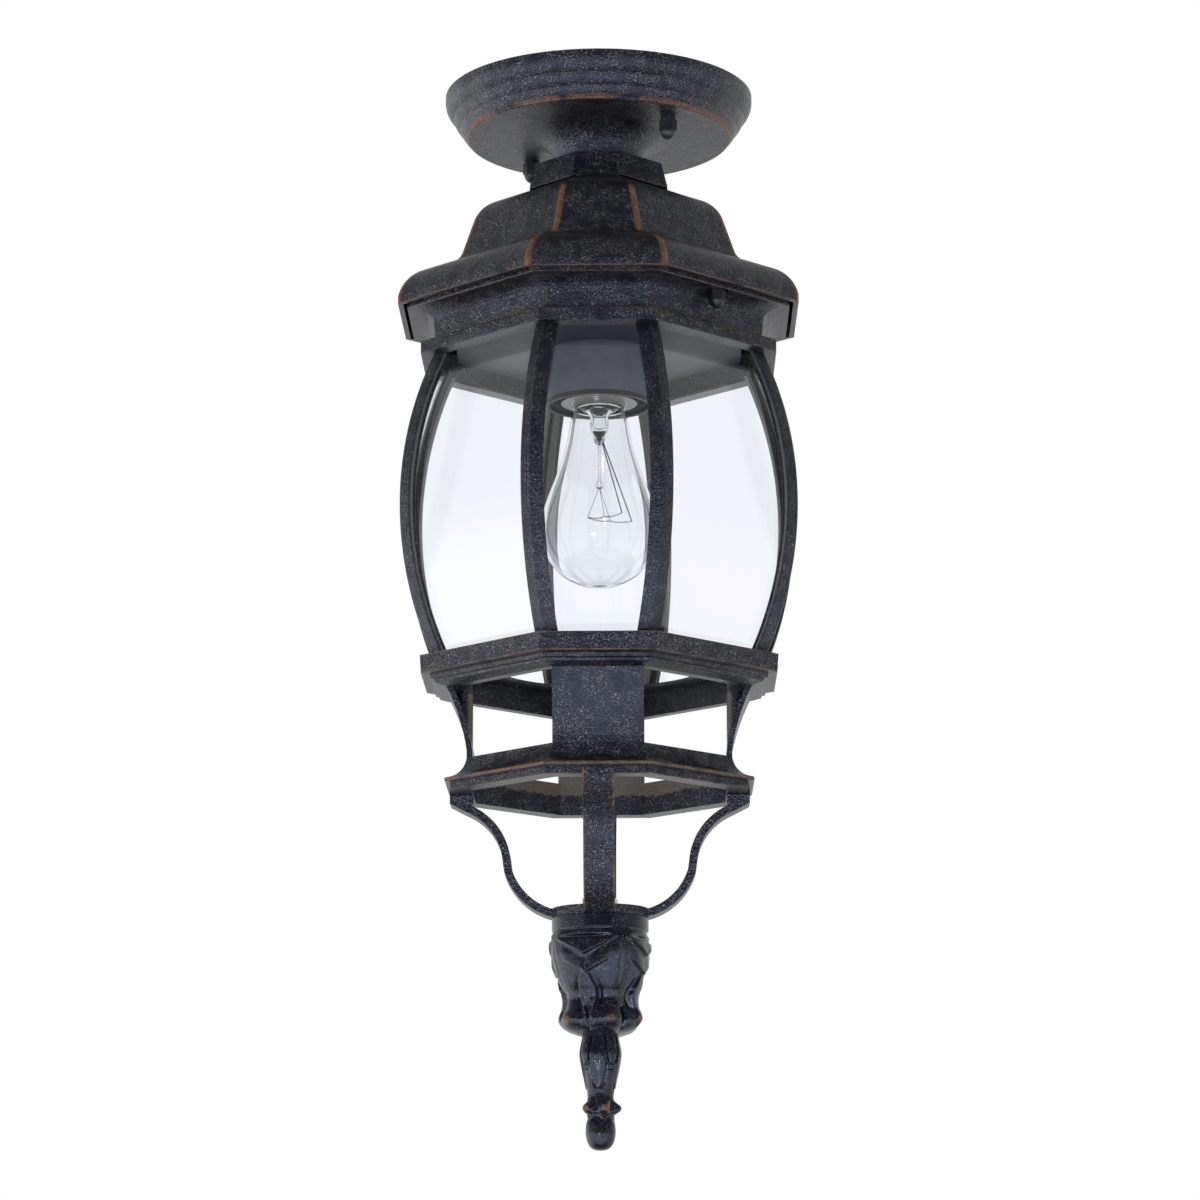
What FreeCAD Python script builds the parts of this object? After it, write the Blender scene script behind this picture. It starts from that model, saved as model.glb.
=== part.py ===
import FreeCAD, Part
import Sketcher
import math
import operator
import os

# Porch ceiling lantern. The frame stands on the lantern's own axis with the ceiling
# plane at height 0 and +Z up, so the whole lantern hangs at negative heights.
# The front narrow face looks along -Y.

Vector = FreeCAD.Vector
doc = FreeCAD.newDocument("porch_lantern")

# ---------------------------------------------------------------- driving dimensions
# Lengths in millimetres, angles in degrees. "half" is the distance from the axis to the
# middle of a narrow face of the octagon, and "inset" is how much nearer the wide diagonal
# faces lie than the narrow ones. Heights and steps are counted from the piece they sit on.
DRIVING = {
    # canopy pan on the ceiling
    "canopy_rim_radius": 79.6,
    "canopy_rim_depth": 3.5,
    "canopy_bead_step": 4.0,
    "canopy_bead_depth": 6.9,
    "canopy_bead_curve": 9.0,
    "canopy_second_bead_step": 3.6,
    "canopy_second_bead_depth": 6.0,
    "canopy_edge_step": 3.5,
    "canopy_edge_depth": 6.0,
    "canopy_edge_fillet": 1.2,
    "canopy_flare_radius": 16.4,
    "canopy_neck_radius": 21.5,
    "canopy_neck_depth": 16.1,
    "canopy_wall": 1.2,
    # bars, studs and nuts that hold the canopy
    "box_screw_spacing": 88.9,
    "box_slot_length": 12.0,
    "box_slot_radius": 2.3,
    "box_bar_end": 8.55,
    "box_bar_width": 22.0,
    "stud_bar_end": 7.2,
    "stud_bar_width": 16.0,
    "bar_thickness": 2.0,
    "eyelet_radius": 4.6,
    "eyelet_bore": 3.4,
    "eyelet_flange": 1.0,
    "eyelet_flange_width": 2.0,
    "stud_spacing": 101.6,
    "stud_radius": 2.05,
    "stud_reach": 7.0,
    "screw_clearance": 0.05,
    "hole_clearance": 0.35,
    "locknut_flats": 8.7,
    "locknut_height": 3.2,
    "washer_width": 1.75,
    "washer_thickness": 1.0,
    "cap_nut_flats": 7.94,
    "cap_nut_height": 10.2,
    "cap_nut_skirt": 6.0,
    "cap_nut_chamfer": 0.6,
    "cap_nut_dome_flat": 0.9,
    "cap_nut_spare": 0.4,
    "ground_screw_radius": 2.0,
    "ground_screw_reach": 6.0,
    "ground_head_radius": 4.2,
    "ground_head_height": 2.6,
    "ground_offset": 24.0,
    # threaded tube on the axis
    "tube_radius": 4.85,
    "tube_bore": 3.4,
    "tube_end": 2.0,
    "tube_nut_flats": 14.3,
    "tube_nut_height": 3.6,
    "tube_washer_width": 3.75,
    # roof: every half and level is a step from the one above or outside it
    "roof_rim_half": 101.6,
    "roof_inset": 5.7,
    "roof_wall": 2.6,
    "roof_rim_land": 4.0,
    "skirt_width": 17.6,
    "skirt_height": 20.9,
    "skirt_radius": 22.0,
    "dome_foot_step": 8.0,
    "dome_foot_height": 3.5,
    "dome_cove_width": 6.5,
    "dome_cove_height": 6.5,
    "dome_cove_radius": 10.4,
    "dome_side_lean": 5.9,
    "dome_side_height": 18.0,
    "shoulder_width": 13.6,
    "shoulder_height": 12.3,
    "shoulder_radius": 20.7,
    "dome_top_height": 7.0,
    "neck_top_half": 32.4,
    "neck_taper": 3.1,
    "neck_height": 12.7,
    "neck_inset": 1.3,
    "neck_plate": 3.0,
    "neck_lip": 1.2,
    "stud_boss_radius": 4.0,
    "stud_boss_inset": 17.1,
    "stud_boss_drop": 6.4,
    "stud_boss_floor": 1.2,
    # cage: top frame
    "cage_inset": 6.2,
    "ledge_gap": 2.0,
    "ledge_rise": 5.8,
    "ledge_height": 7.4,
    "ledge_lip": 2.5,
    "cove_width": 10.5,
    "cove_height": 4.4,
    "cove_radius": 11.6,
    "band_height": 9.0,
    "band_lean": 0.8,
    "flange_width": 6.2,
    "flange_rise": 2.8,
    "flange_height": 6.6,
    "flange_chamfer": 0.6,
    "frame_wall": 7.5,
    "frame_step": 4.0,
    "frame_step_rise": 3.4,
    "spotface_radius": 5.5,
    "spotface_depth": 2.4,
    # cage: posts and panes
    "post_set_back": 0.4,
    "post_bow": 16.4,
    "post_height": 155.9,
    "post_half_width": 6.2,
    "post_flange": 2.4,
    "post_web_half": 1.8,
    "post_depth": 9.0,
    "pane_thickness": 3.0,
    "pane_gap": 0.6,
    "pane_side_gap": 0.5,
    "pane_end_gap": 0.3,
    # cage: bottom ring and plate
    "ring_overhang": 6.0,
    "ring_band_height": 9.2,
    "ring_lean": 0.6,
    "ring_step": 5.0,
    "ring_second_step": 2.0,
    "ring_step_edge": 0.4,
    "ring_step_height": 1.9,
    "ring_second_step_height": 1.3,
    "ring_cove": 6.0,
    "ring_height": 15.0,
    "ring_foot": 5.6,
    "plate_seat": 3.5,
    "plate_thickness": 1.5,
    "plate_depth": 1.3,
    "plate_clearance": 0.3,
    "plate_hole_inset": 21.5,
    "plate_screw_inset": 12.5,
    "plate_screw_hole": 1.7,
    # crown casting with its four straps
    "crown_inset": 3.7,
    "strap_half_width": 22.4,
    "strap_top_inset": 0.2,
    "strap_bow": 10.2,
    "strap_height": 32.3,
    "strap_thickness": 2.8,
    "strap_radius": 104.4,
    "strap_foot": 3.6,
    "crown_flare_radius": 11.8,
    "crown_flare_width": 11.0,
    "crown_flare_height": 10.6,
    "crown_rim_depth": 2.2,
    "crown_rim_step": 3.3,
    "crown_rim_round": 0.8,
    "crown_band_height": 5.9,
    "boss_inset": 7.4,
    "boss_radius": 5.0,
    "lug_height": 8.8,
    "crown_screw_radius": 2.0,
    "crown_screw_head": 3.8,
    "crown_screw_head_height": 2.4,
    "crown_screw_length": 17.0,
    "crown_screw_room": 0.5,
    # basket of four legs under the crown
    "leg_half_width": 7.7,
    "leg_lip": 1.3,
    "leg_lip_drop": 3.0,
    "leg_pad_height": 4.5,
    "leg_pad_length": 10.1,
    "leg_shoulder_inset": 7.1,
    "leg_shoulder_height": 4.4,
    "leg_thickness": 4.1,
    "leg_bend_radius": 29.6,
    "leg_bend_width": 18.2,
    "leg_bend_height": 25.0,
    "leg_straight": 5.0,
    "leg_straight_lean": 0.7,
    "leg_sweep_radius": 34.0,
    "leg_sweep_height": 22.6,
    "leg_foot_gap": 0.6,
    "hub_radius": 24.3,
    "hub_thickness": 4.6,
    # finial
    "cup_rim_radius": 24.2,
    "cup_rim_height": 7.4,
    "cup_bulge_radius": 21.0,
    "cup_belly_radius": 24.7,
    "cup_belly_height": 14.0,
    "cup_taper_radius": 47.8,
    "cup_waist_radius": 17.6,
    "cup_waist_height": 17.5,
    "cup_hollow_radius": 8.7,
    "cup_lip_radius": 19.0,
    "cup_lip_height": 9.0,
    "lip_roll_radius": 4.9,
    "lip_under_radius": 18.5,
    "lip_under_height": 7.5,
    "cup_foot_radius": 9.4,
    "cup_foot_height": 3.6,
    "bud_top_radius": 8.4,
    "bud_side_radius": 38.7,
    "bud_waist_radius": 6.4,
    "bud_height": 25.4,
    "bud_hollow_radius": 8.6,
    "bud_lip_radius": 8.4,
    "bud_lip_height": 7.5,
    "bud_roll_radius": 3.05,
    "bud_under_radius": 7.5,
    "bud_under_height": 4.7,
    "ball_top_radius": 6.1,
    "ball_collar": 0.8,
    "ball_height": 18.0,
    "ball_side_radius": 14.9,
    "ball_foot_radius": 2.6,
    "ball_foot_height": 0.6,
    "rod_radius": 4.0,
    "rod_rise": 8.0,
    "rod_bud_length": 17.4,
    "rod_room": 1.0,
    "rod_nut_flats": 16.5,
    "rod_nut_height": 5.0,
    # lamp holder and bulb
    "baffle_gap": 4.5,
    "baffle_drop": 4.6,
    "baffle_thickness": 1.2,
    "holder_cup_radius": 26.4,
    "holder_cup_height": 29.7,
    "holder_cup_wall": 1.2,
    "holder_cup_bead": 0.5,
    "holder_cup_bead_height": 2.2,
    "socket_radius": 19.5,
    "socket_drop": 6.8,
    "socket_height": 21.4,
    "socket_floor": 3.8,
    "socket_seat": 2.0,
    "shell_radius": 14.0,
    "shell_wall": 0.4,
    "contact_radius": 4.2,
    "contact_thickness": 0.8,
    "contact_gap": 0.3,
    "bulb_base_gap": 0.5,
    "bulb_base_wall": 0.4,
    "bulb_base_height": 16.5,
    "bulb_base_chamfer": 2.0,
    "bulb_tip_radius": 3.8,
    "bulb_tip_flare": 3.0,
    "bulb_tip_height": 2.7,
    "bulb_neck_radius": 15.0,
    "bulb_neck_drop": 4.5,
    "bulb_neck_curve": 52.9,
    "bulb_neck_height": 11.5,
    "bulb_radius": 30.0,
    "bulb_body_height": 77.5,
    "bulb_glass_wall": 0.8,
    "stem_radius": 4.6,
    "stem_height": 19.5,
    "stem_press_height": 8.0,
    "stem_foot_height": 2.0,
    "stem_rod_radius": 1.6,
    "stem_rod_length": 14.0,
    "filament_drop": 37.5,
    "filament_half_span": 11.0,
    "filament_radius": 0.7,
    "filament_lead_spread": 2.4,
    "filament_lead_sink": 1.6,
    "support_radius": 0.45,
    "support_spread": 1.0,
    "support_sink": 0.8,
    # internal leads
    "lead_radius": 1.25,
    "lead_offset": 1.55,
    "lead_end": 8.0,
}

sheet = doc.addObject("Spreadsheet::Sheet", "Sizes")
for row, (alias, number) in enumerate(DRIVING.items(), start=1):
    sheet.set(f"A{row}", alias.replace("_", " "))
    sheet.set(f"B{row}", str(number))
    sheet.setAlias(f"B{row}", alias)
doc.recompute()


# ---------------------------------------------------------------- sizes with formulas
class Size:
    """A number together with the sheet formula that it comes from."""

    def __init__(self, number, formula):
        self.number = number
        self.formula = formula

    def __add__(self, other):
        return joined(self, "+", other)

    def __radd__(self, other):
        return joined(other, "+", self)

    def __sub__(self, other):
        return joined(self, "-", other)

    def __rsub__(self, other):
        return joined(other, "-", self)

    def __mul__(self, other):
        return joined(self, "*", other)

    def __rmul__(self, other):
        return joined(other, "*", self)

    def __truediv__(self, other):
        return joined(self, "/", other)

    def __neg__(self):
        return joined(0, "-", self)


OPERATIONS = {"+": operator.add, "-": operator.sub, "*": operator.mul, "/": operator.truediv}


def as_size(thing):
    if isinstance(thing, Size):
        return thing
    return Size(float(thing), repr(float(thing)))


def joined(first, sign, second):
    """Join two sizes by one operation, in the number and in the formula alike."""
    first = as_size(first)
    second = as_size(second)
    number = OPERATIONS[sign](first.number, second.number)
    return Size(number, f"({first.formula} {sign} {second.formula})")


def root(size):
    return Size(math.sqrt(size.number), f"sqrt({size.formula})")


def sine(angle):
    return Size(math.sin(math.radians(angle)), f"sin({float(angle)!r})")


def cosine(angle):
    return Size(math.cos(math.radians(angle)), f"cos({float(angle)!r})")


class Sheet:
    """The sheet's aliases as Sizes; the sizes worked out from them are set beside them."""

    def __getattr__(self, alias):
        return Size(float(sheet.getPropertyByName(alias)), f"Sizes.{alias}")


s = Sheet()


def set_levels():
    """Distances below the ceiling: each one is the one above it plus a height of the sheet."""
    s.canopy_bead_level = s.canopy_rim_depth + s.canopy_bead_depth
    s.canopy_second_bead_level = s.canopy_bead_level + s.canopy_second_bead_depth
    s.canopy_floor_level = s.canopy_second_bead_level + s.canopy_edge_depth
    s.neck_top_level = s.canopy_floor_level + s.canopy_neck_depth
    s.neck_foot_level = s.neck_top_level + s.neck_height
    s.shoulder_top_level = s.neck_foot_level + s.dome_top_height
    s.shoulder_level = s.shoulder_top_level + s.shoulder_height
    s.dome_side_level = s.shoulder_level + s.dome_side_height
    s.dome_foot_level = s.dome_side_level + s.dome_cove_height
    s.skirt_start_level = s.dome_foot_level + s.dome_foot_height
    s.stud_boss_top_level = s.skirt_start_level + s.stud_boss_drop
    s.roof_rim_level = s.skirt_start_level + s.skirt_height
    s.ledge_top_level = s.roof_rim_level - s.ledge_rise
    s.ledge_bottom_level = s.ledge_top_level + s.ledge_height
    s.spotface_level = s.ledge_bottom_level - s.spotface_depth
    s.band_top_level = s.ledge_bottom_level + s.cove_height
    s.band_bottom_level = s.band_top_level + s.band_height
    s.frame_step_level = s.band_bottom_level - s.frame_step_rise
    s.flange_top_level = s.band_bottom_level + s.flange_rise
    s.flange_bottom_level = s.flange_top_level + s.flange_height
    s.ring_top_level = s.flange_bottom_level + s.post_height
    s.plate_top_level = s.ring_top_level + s.plate_depth
    s.ring_bottom_level = s.ring_top_level + s.ring_height
    s.lug_top_level = s.ring_bottom_level - s.lug_height
    s.strap_foot_level = s.ring_bottom_level + s.strap_height
    s.crown_top_level = s.strap_foot_level + s.strap_foot
    s.crown_rim_level = s.crown_top_level + s.crown_flare_height
    s.crown_bottom_level = s.crown_rim_level + s.crown_band_height
    s.leg_lip_level = s.crown_rim_level + s.leg_lip_drop
    s.leg_pad_level = s.crown_bottom_level + s.leg_pad_height
    s.leg_shoulder_level = s.leg_pad_level + s.leg_shoulder_height
    s.leg_waist_level = s.leg_shoulder_level + s.leg_bend_height
    s.leg_sweep_level = s.leg_waist_level + s.leg_straight
    s.hub_bottom_level = s.leg_sweep_level + s.leg_sweep_height
    s.hub_top_level = s.hub_bottom_level - s.hub_thickness
    s.cup_rim_level = s.hub_bottom_level + s.cup_rim_height
    s.cup_belly_level = s.cup_rim_level + s.cup_belly_height
    s.cup_waist_level = s.cup_belly_level + s.cup_waist_height
    s.cup_lip_level = s.cup_waist_level + s.cup_lip_height
    s.lip_under_level = s.cup_lip_level + s.lip_under_height
    s.cup_foot_level = s.lip_under_level + s.cup_foot_height
    s.bud_waist_level = s.cup_foot_level + s.bud_height
    s.bud_lip_level = s.bud_waist_level + s.bud_lip_height
    s.bud_under_level = s.bud_lip_level + s.bud_under_height
    s.ball_top_level = s.bud_under_level + s.ball_collar
    s.tip_level = s.ball_top_level + s.ball_height
    s.rod_top_level = s.hub_top_level - s.rod_rise
    s.rod_foot_level = s.cup_foot_level + s.rod_bud_length
    s.baffle_level = s.frame_step_level + s.baffle_drop
    s.holder_cup_level = s.baffle_level + s.holder_cup_height
    s.socket_top_level = s.baffle_level + s.socket_drop
    s.socket_bottom_level = s.socket_top_level + s.socket_height
    s.socket_floor_level = s.socket_top_level + s.socket_floor
    s.bulb_tip_level = s.socket_floor_level + s.contact_thickness + s.contact_gap
    s.bulb_base_top_level = s.bulb_tip_level + s.bulb_tip_height
    s.bulb_base_foot_level = s.bulb_base_top_level + s.bulb_base_height
    s.bulb_neck_level = s.bulb_base_foot_level + s.bulb_neck_drop
    s.bulb_neck_foot_level = s.bulb_neck_level + s.bulb_neck_height
    s.bulb_bottom_level = s.bulb_neck_foot_level + s.bulb_body_height
    s.stem_foot_level = s.bulb_base_foot_level + s.stem_height
    s.filament_level = s.stem_foot_level + s.filament_drop


def set_halves():
    """Distances from the axis: each one is a step in or out from the piece it meets."""
    s.canopy_bead_radius = s.canopy_rim_radius - s.canopy_bead_step
    s.canopy_second_bead_radius = s.canopy_bead_radius - s.canopy_second_bead_step
    s.canopy_edge_radius = s.canopy_second_bead_radius - s.canopy_edge_step
    s.box_bar_length = s.box_screw_spacing + s.box_slot_length + s.box_bar_end * 2
    s.stud_bar_length = s.stud_spacing + s.stud_bar_end * 2
    s.washer_radius = s.stud_radius + s.washer_width
    s.tube_washer_radius = s.tube_radius + s.tube_washer_width
    s.neck_foot_half = s.neck_top_half + s.neck_taper
    s.skirt_start_half = s.roof_rim_half - s.skirt_width
    s.dome_foot_half = s.skirt_start_half - s.dome_foot_step
    s.dome_side_half = s.dome_foot_half - s.dome_cove_width
    s.shoulder_half = s.dome_side_half - s.dome_side_lean
    s.shoulder_top_half = s.shoulder_half - s.shoulder_width
    s.cage_stud_offset = s.roof_rim_half - s.stud_boss_inset
    s.ledge_half = s.roof_rim_half - s.roof_wall - s.ledge_gap
    s.band_half = s.ledge_half - s.ledge_lip - s.cove_width
    s.flange_half = s.band_half + s.flange_width
    s.frame_bore_half = s.band_half - s.frame_wall
    s.frame_step_half = s.frame_bore_half + s.frame_step
    s.baffle_half = s.frame_bore_half - s.baffle_gap
    s.post_end_half = s.band_half - s.post_set_back
    s.post_waist_half = s.post_end_half + s.post_bow
    s.ring_half = s.post_end_half + s.ring_overhang
    s.ring_step_half = s.ring_half - s.ring_step
    s.ring_second_step_half = s.ring_step_half - s.ring_second_step
    s.ring_bottom_half = s.ring_second_step_half - s.ring_cove
    s.ring_bore_half = s.ring_bottom_half - s.ring_foot
    s.plate_seat_half = s.ring_bore_half + s.plate_seat
    s.plate_screw_radius = s.plate_seat_half - s.plate_screw_inset
    s.plate_hole_radius = s.plate_seat_half - s.plate_hole_inset
    s.strap_top_half = s.ring_bottom_half - s.strap_top_inset
    s.strap_foot_half = s.strap_top_half - s.strap_bow
    s.boss_half = s.strap_top_half - s.boss_inset
    s.crown_bore_half = s.strap_foot_half - s.strap_thickness
    s.crown_rim_half = s.strap_foot_half + s.crown_flare_width
    s.crown_band_half = s.crown_rim_half - s.crown_rim_step
    s.leg_shoulder_half = s.crown_band_half - s.leg_shoulder_inset
    s.leg_waist_half = s.leg_shoulder_half - s.leg_bend_width
    s.leg_sweep_half = s.leg_waist_half - s.leg_straight_lean
    s.leg_foot_half = s.hub_radius + s.leg_foot_gap
    s.leg_pad_inner_half = s.crown_band_half - s.leg_pad_length
    s.bulb_base_radius = s.shell_radius - s.shell_wall - s.bulb_base_gap


set_levels()
set_halves()
ROOT_TWO = 2 ** 0.5
CORNER = 22.5
NARROW_FACES = (0, 90, 180, 270)
WIDE_FACES = (45, 135, 225, 315)
STUD_ANGLES = (-45, 135)
BULB_SHOULDER = 55
# How far a cutting solid runs past the face it cuts, and a fused one into its neighbour.
PAST = 1.0
INTO = 2.0
nodes = {}


def keep(name, item):
    """Give a finished piece its own name."""
    item.Label = name
    nodes[name] = item
    return item


def bind(item, prop, size):
    """Set a property and tie it to the sheet."""
    size = as_size(size)
    setattr(item, prop, size.number)
    item.setExpression(prop, size.formula)


def place(item, x=0, y=0, z=0, turn=0, tilt=0):
    """Put a piece at x, y, z, tilted about X and then turned about Z; lengths stay tied to the sheet."""
    spin = FreeCAD.Rotation(Vector(0, 0, 1), turn).multiply(FreeCAD.Rotation(Vector(1, 0, 0), tilt))
    spots = [as_size(axis) for axis in (x, y, z)]
    item.Placement = FreeCAD.Placement(Vector(*[spot.number for spot in spots]), spin)
    for axis, spot in zip("xyz", spots):
        if spot.number != 0:
            item.setExpression(f"Placement.Base.{axis}", spot.formula)
    return item


# ---------------------------------------------------------------- outlines
def edge_between(start, corner):
    """A straight edge, or an arc where the corner names a radius and the side it turns to."""
    first = Vector(as_size(start[0]).number, as_size(start[1]).number, 0)
    last = Vector(as_size(corner[0]).number, as_size(corner[1]).number, 0)
    if len(corner) == 2:
        return Part.LineSegment(first, last), 1, 2
    radius = as_size(corner[2]).number
    side = 1 if corner[3] == "left" else -1
    chord = last.sub(first)
    rise = math.sqrt(max(radius ** 2 - (chord.Length / 2) ** 2, 0))
    normal = Vector(-chord.y, chord.x, 0).normalize()
    centre = first.add(last).multiply(0.5).add(normal.multiply(side * rise))
    begin, end = (first, last) if side > 0 else (last, first)
    start_angle = math.atan2(begin.y - centre.y, begin.x - centre.x)
    end_angle = math.atan2(end.y - centre.y, end.x - centre.x)
    if end_angle <= start_angle:
        end_angle += 2 * math.pi
    circle = Part.Circle(centre, Vector(0, 0, 1), radius)
    arc = Part.ArcOfCircle(circle, start_angle, end_angle)
    return (arc, 1, 2) if side > 0 else (arc, 2, 1)


def draw(sketch, corners):
    """Draw a closed outline whose corners and radii are tied to the sheet.

    A corner is (x, y), or (x, y, radius, side) where the edge that arrives is an arc."""
    base = sketch.GeometryCount
    edges = [edge_between(corners[index - 1], corners[index]) for index in range(len(corners))]
    sketch.addGeometry([edge[0] for edge in edges], False)
    rules = []
    formulas = []

    def rule(formula, *terms):
        rules.append(Sketcher.Constraint(*terms))
        formulas.append(formula)

    for index, corner in enumerate(corners):
        ahead = (index + 1) % len(corners)
        this = base + index
        tail = edges[index][2]
        rule(None, "Coincident", this, tail, base + ahead, edges[ahead][1])
        for name, axis, where in (("DistanceX", -2, corner[0]), ("DistanceY", -1, corner[1])):
            where = as_size(where)
            if where.number == 0:
                rule(None, "PointOnObject", this, tail, axis)
            else:
                rule(where.formula, name, -1, 1, this, tail, where.number)
        if len(corner) == 4:
            radius = as_size(corner[2])
            rule(radius.formula, "Radius", this, radius.number)
    first_rule = sketch.ConstraintCount
    sketch.addConstraint(rules)
    for index, formula in enumerate(formulas):
        if formula and "Sizes" in formula:
            sketch.setExpression(f"Constraints[{first_rule + index}]", formula)
    return sketch


def draw_circle(sketch, x, y, radius):
    """Draw a circle whose centre and radius are tied to the sheet."""
    spots = (as_size(x), as_size(y))
    radius = as_size(radius)
    this = sketch.GeometryCount
    centre = Vector(spots[0].number, spots[1].number, 0)
    sketch.addGeometry(Part.Circle(centre, Vector(0, 0, 1), radius.number), False)
    index = sketch.addConstraint(Sketcher.Constraint("Radius", this, radius.number))
    sketch.setExpression(f"Constraints[{index}]", radius.formula)
    for name, axis, spot in (("DistanceX", -2, spots[0]), ("DistanceY", -1, spots[1])):
        if spot.number == 0:
            sketch.addConstraint(Sketcher.Constraint("PointOnObject", this, 3, axis))
        else:
            index = sketch.addConstraint(Sketcher.Constraint(name, -1, 1, this, 3, spot.number))
            sketch.setExpression(f"Constraints[{index}]", spot.formula)


def origin_plane(body, role):
    return [item for item in body.Origin.OriginFeatures if item.Role == role][0]


def body_sketch(body, role, name):
    """A sketch on one of the body's own origin planes."""
    sketch = body.newObject("Sketcher::SketchObject", name)
    sketch.AttachmentSupport = [(origin_plane(body, role), "")]
    sketch.MapMode = "FlatFace"
    return sketch


def turned(name, corners):
    """A turned piece: an outline in radius and height, revolved about the axis."""
    body = doc.addObject("PartDesign::Body", name)
    sketch = draw(body_sketch(body, "XZ_Plane", name + "_outline"), corners)
    turn = body.newObject("PartDesign::Revolution", name + "_turn")
    turn.Profile = sketch
    turn.ReferenceAxis = (sketch, ["V_Axis"])
    turn.Angle = 360
    body.Label = name
    return body


def padded(name, role, corners, length, holes=()):
    """A flat piece: an outline with round holes, thickened evenly about its plane."""
    body = doc.addObject("PartDesign::Body", name)
    sketch = draw(body_sketch(body, role, name + "_outline"), corners)
    for hole in holes:
        draw_circle(sketch, *hole)
    pad = body.newObject("PartDesign::Pad", name + "_pad")
    pad.Profile = sketch
    pad.Midplane = True
    bind(pad, "Length", length)
    body.Label = name
    return body


def cylinder(name, radius, bottom, height, x=0, y=0):
    rod = doc.addObject("Part::Cylinder", name)
    bind(rod, "Radius", radius)
    bind(rod, "Height", height)
    return place(rod, x, y, bottom)


def hexagon(name, flats, bottom, height, x=0, y=0, turn=0):
    prism = doc.addObject("Part::Prism", name)
    prism.Polygon = 6
    bind(prism, "Circumradius", flats / root(as_size(3)))
    bind(prism, "Height", height)
    return place(prism, x, y, bottom, turn)


def fuse(name, items):
    joint = doc.addObject("Part::MultiFuse", name)
    joint.Shapes = items
    joint.Refine = True
    return joint


def common(name, items):
    shared = doc.addObject("Part::MultiCommon", name)
    shared.Shapes = items
    return shared


def cut(name, base, tools):
    """Take one or more tools away from a piece."""
    tool = tools[0] if len(tools) == 1 else fuse(name + "_tools", tools)
    rest = doc.addObject("Part::Cut", name)
    rest.Base = base
    rest.Tool = tool
    return rest


def group(name, items):
    """Identical loose pieces that share one node."""
    set_of = doc.addObject("Part::Compound", name)
    set_of.Links = items
    return keep(name, set_of)


def at_angle(radius, angle):
    """Plan position at a radius and an angle from +X."""
    return as_size(radius) * cosine(angle), as_size(radius) * sine(angle)


# ---------------------------------------------------------------- octagon mouldings
def octagon_corners(half, inset):
    """Plan corners of the octagon: narrow faces at `half`, wide faces `inset` nearer."""
    short = (half - inset) * ROOT_TWO - half
    right = [(short, -half), (half, -short), (half, short), (short, half)]
    left = [(-x, y) for x, y in reversed(right)]
    return right + left


def moulding(name, inset, section):
    """A wall section carried round the octagon with mitred corners.

    The section is a list of (half, level) corners, drawn on the front face."""
    start_half = as_size(section[0][0])
    path = doc.addObject("Sketcher::SketchObject", name + "_path")
    corners = octagon_corners(start_half, as_size(inset))
    draw(path, [(0, -start_half)] + corners)
    place(path, 0, 0, -as_size(section[0][1]))
    wall = doc.addObject("Sketcher::SketchObject", name + "_section")
    place(wall, turn=-90, tilt=90)
    draw(wall, [(corner[0], -as_size(corner[1])) + tuple(corner[2:]) for corner in section])
    sweep = doc.addObject("Part::Sweep", name)
    sweep.Sections = [wall]
    sweep.Spine = (path, [])
    sweep.Solid = True
    sweep.Frenet = False
    sweep.Transition = "Right corner"
    return sweep


def octagon_plate(name, half, inset, top, thickness, holes=()):
    """A flat octagonal plate with round holes, its top face at level `top`."""
    body = doc.addObject("PartDesign::Body", name)
    sketch = draw(body_sketch(body, "XY_Plane", name + "_outline"), octagon_corners(half, inset))
    for hole in holes:
        draw_circle(sketch, *hole)
    pad = body.newObject("PartDesign::Pad", name + "_pad")
    pad.Profile = sketch
    pad.Reversed = True
    bind(pad, "Length", thickness)
    body.Label = name
    return place(body, 0, 0, -top)


def arc_centre(start, end, radius, side):
    """Centre of the arc from start to end that turns to the given side."""
    across = end[0] - start[0]
    along = end[1] - start[1]
    chord = root(across * across + along * along)
    rise = root(radius * radius - chord * chord / 4)
    sign = 1 if side == "left" else -1
    centre_x = (start[0] + end[0]) / 2 - sign * rise * along / chord
    centre_y = (start[1] + end[1]) / 2 + sign * rise * across / chord
    return centre_x, centre_y


def moved_from(point, centre, radius, distance):
    """The point moved away from the centre of its arc."""
    scale = (radius + distance) / radius
    return centre[0] + (point[0] - centre[0]) * scale, centre[1] + (point[1] - centre[1]) * scale


# ---------------------------------------------------------------- bars, studs and canopy
def bar(name, length, width, level, circles, slots=()):
    """A flat steel bar with round holes and round-ended slots, its top at level `level`."""
    half = length / 2
    wide = width / 2
    end = half - wide
    body = doc.addObject("PartDesign::Body", name)
    sketch = body_sketch(body, "XY_Plane", name + "_outline")
    draw(sketch, rounded_slot(0, end, wide))
    for circle in circles:
        draw_circle(sketch, *circle)
    for middle, reach, radius in slots:
        draw(sketch, rounded_slot(middle, reach, radius))
    pad = body.newObject("PartDesign::Pad", name + "_pad")
    pad.Profile = sketch
    pad.Reversed = True
    bind(pad, "Length", s.bar_thickness)
    body.Label = name
    return place(body, 0, 0, -as_size(level))


def rounded_slot(middle, reach, radius):
    """Outline of a round-ended slot along X, as quarter arcs."""
    middle = as_size(middle)
    right = middle + reach
    left = middle - reach
    return [(right, -radius), (right + radius, 0, radius, "left"),
            (right, radius, radius, "left"), (left, radius), (left - radius, 0, radius, "left"),
            (left, -radius, radius, "left")]


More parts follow.
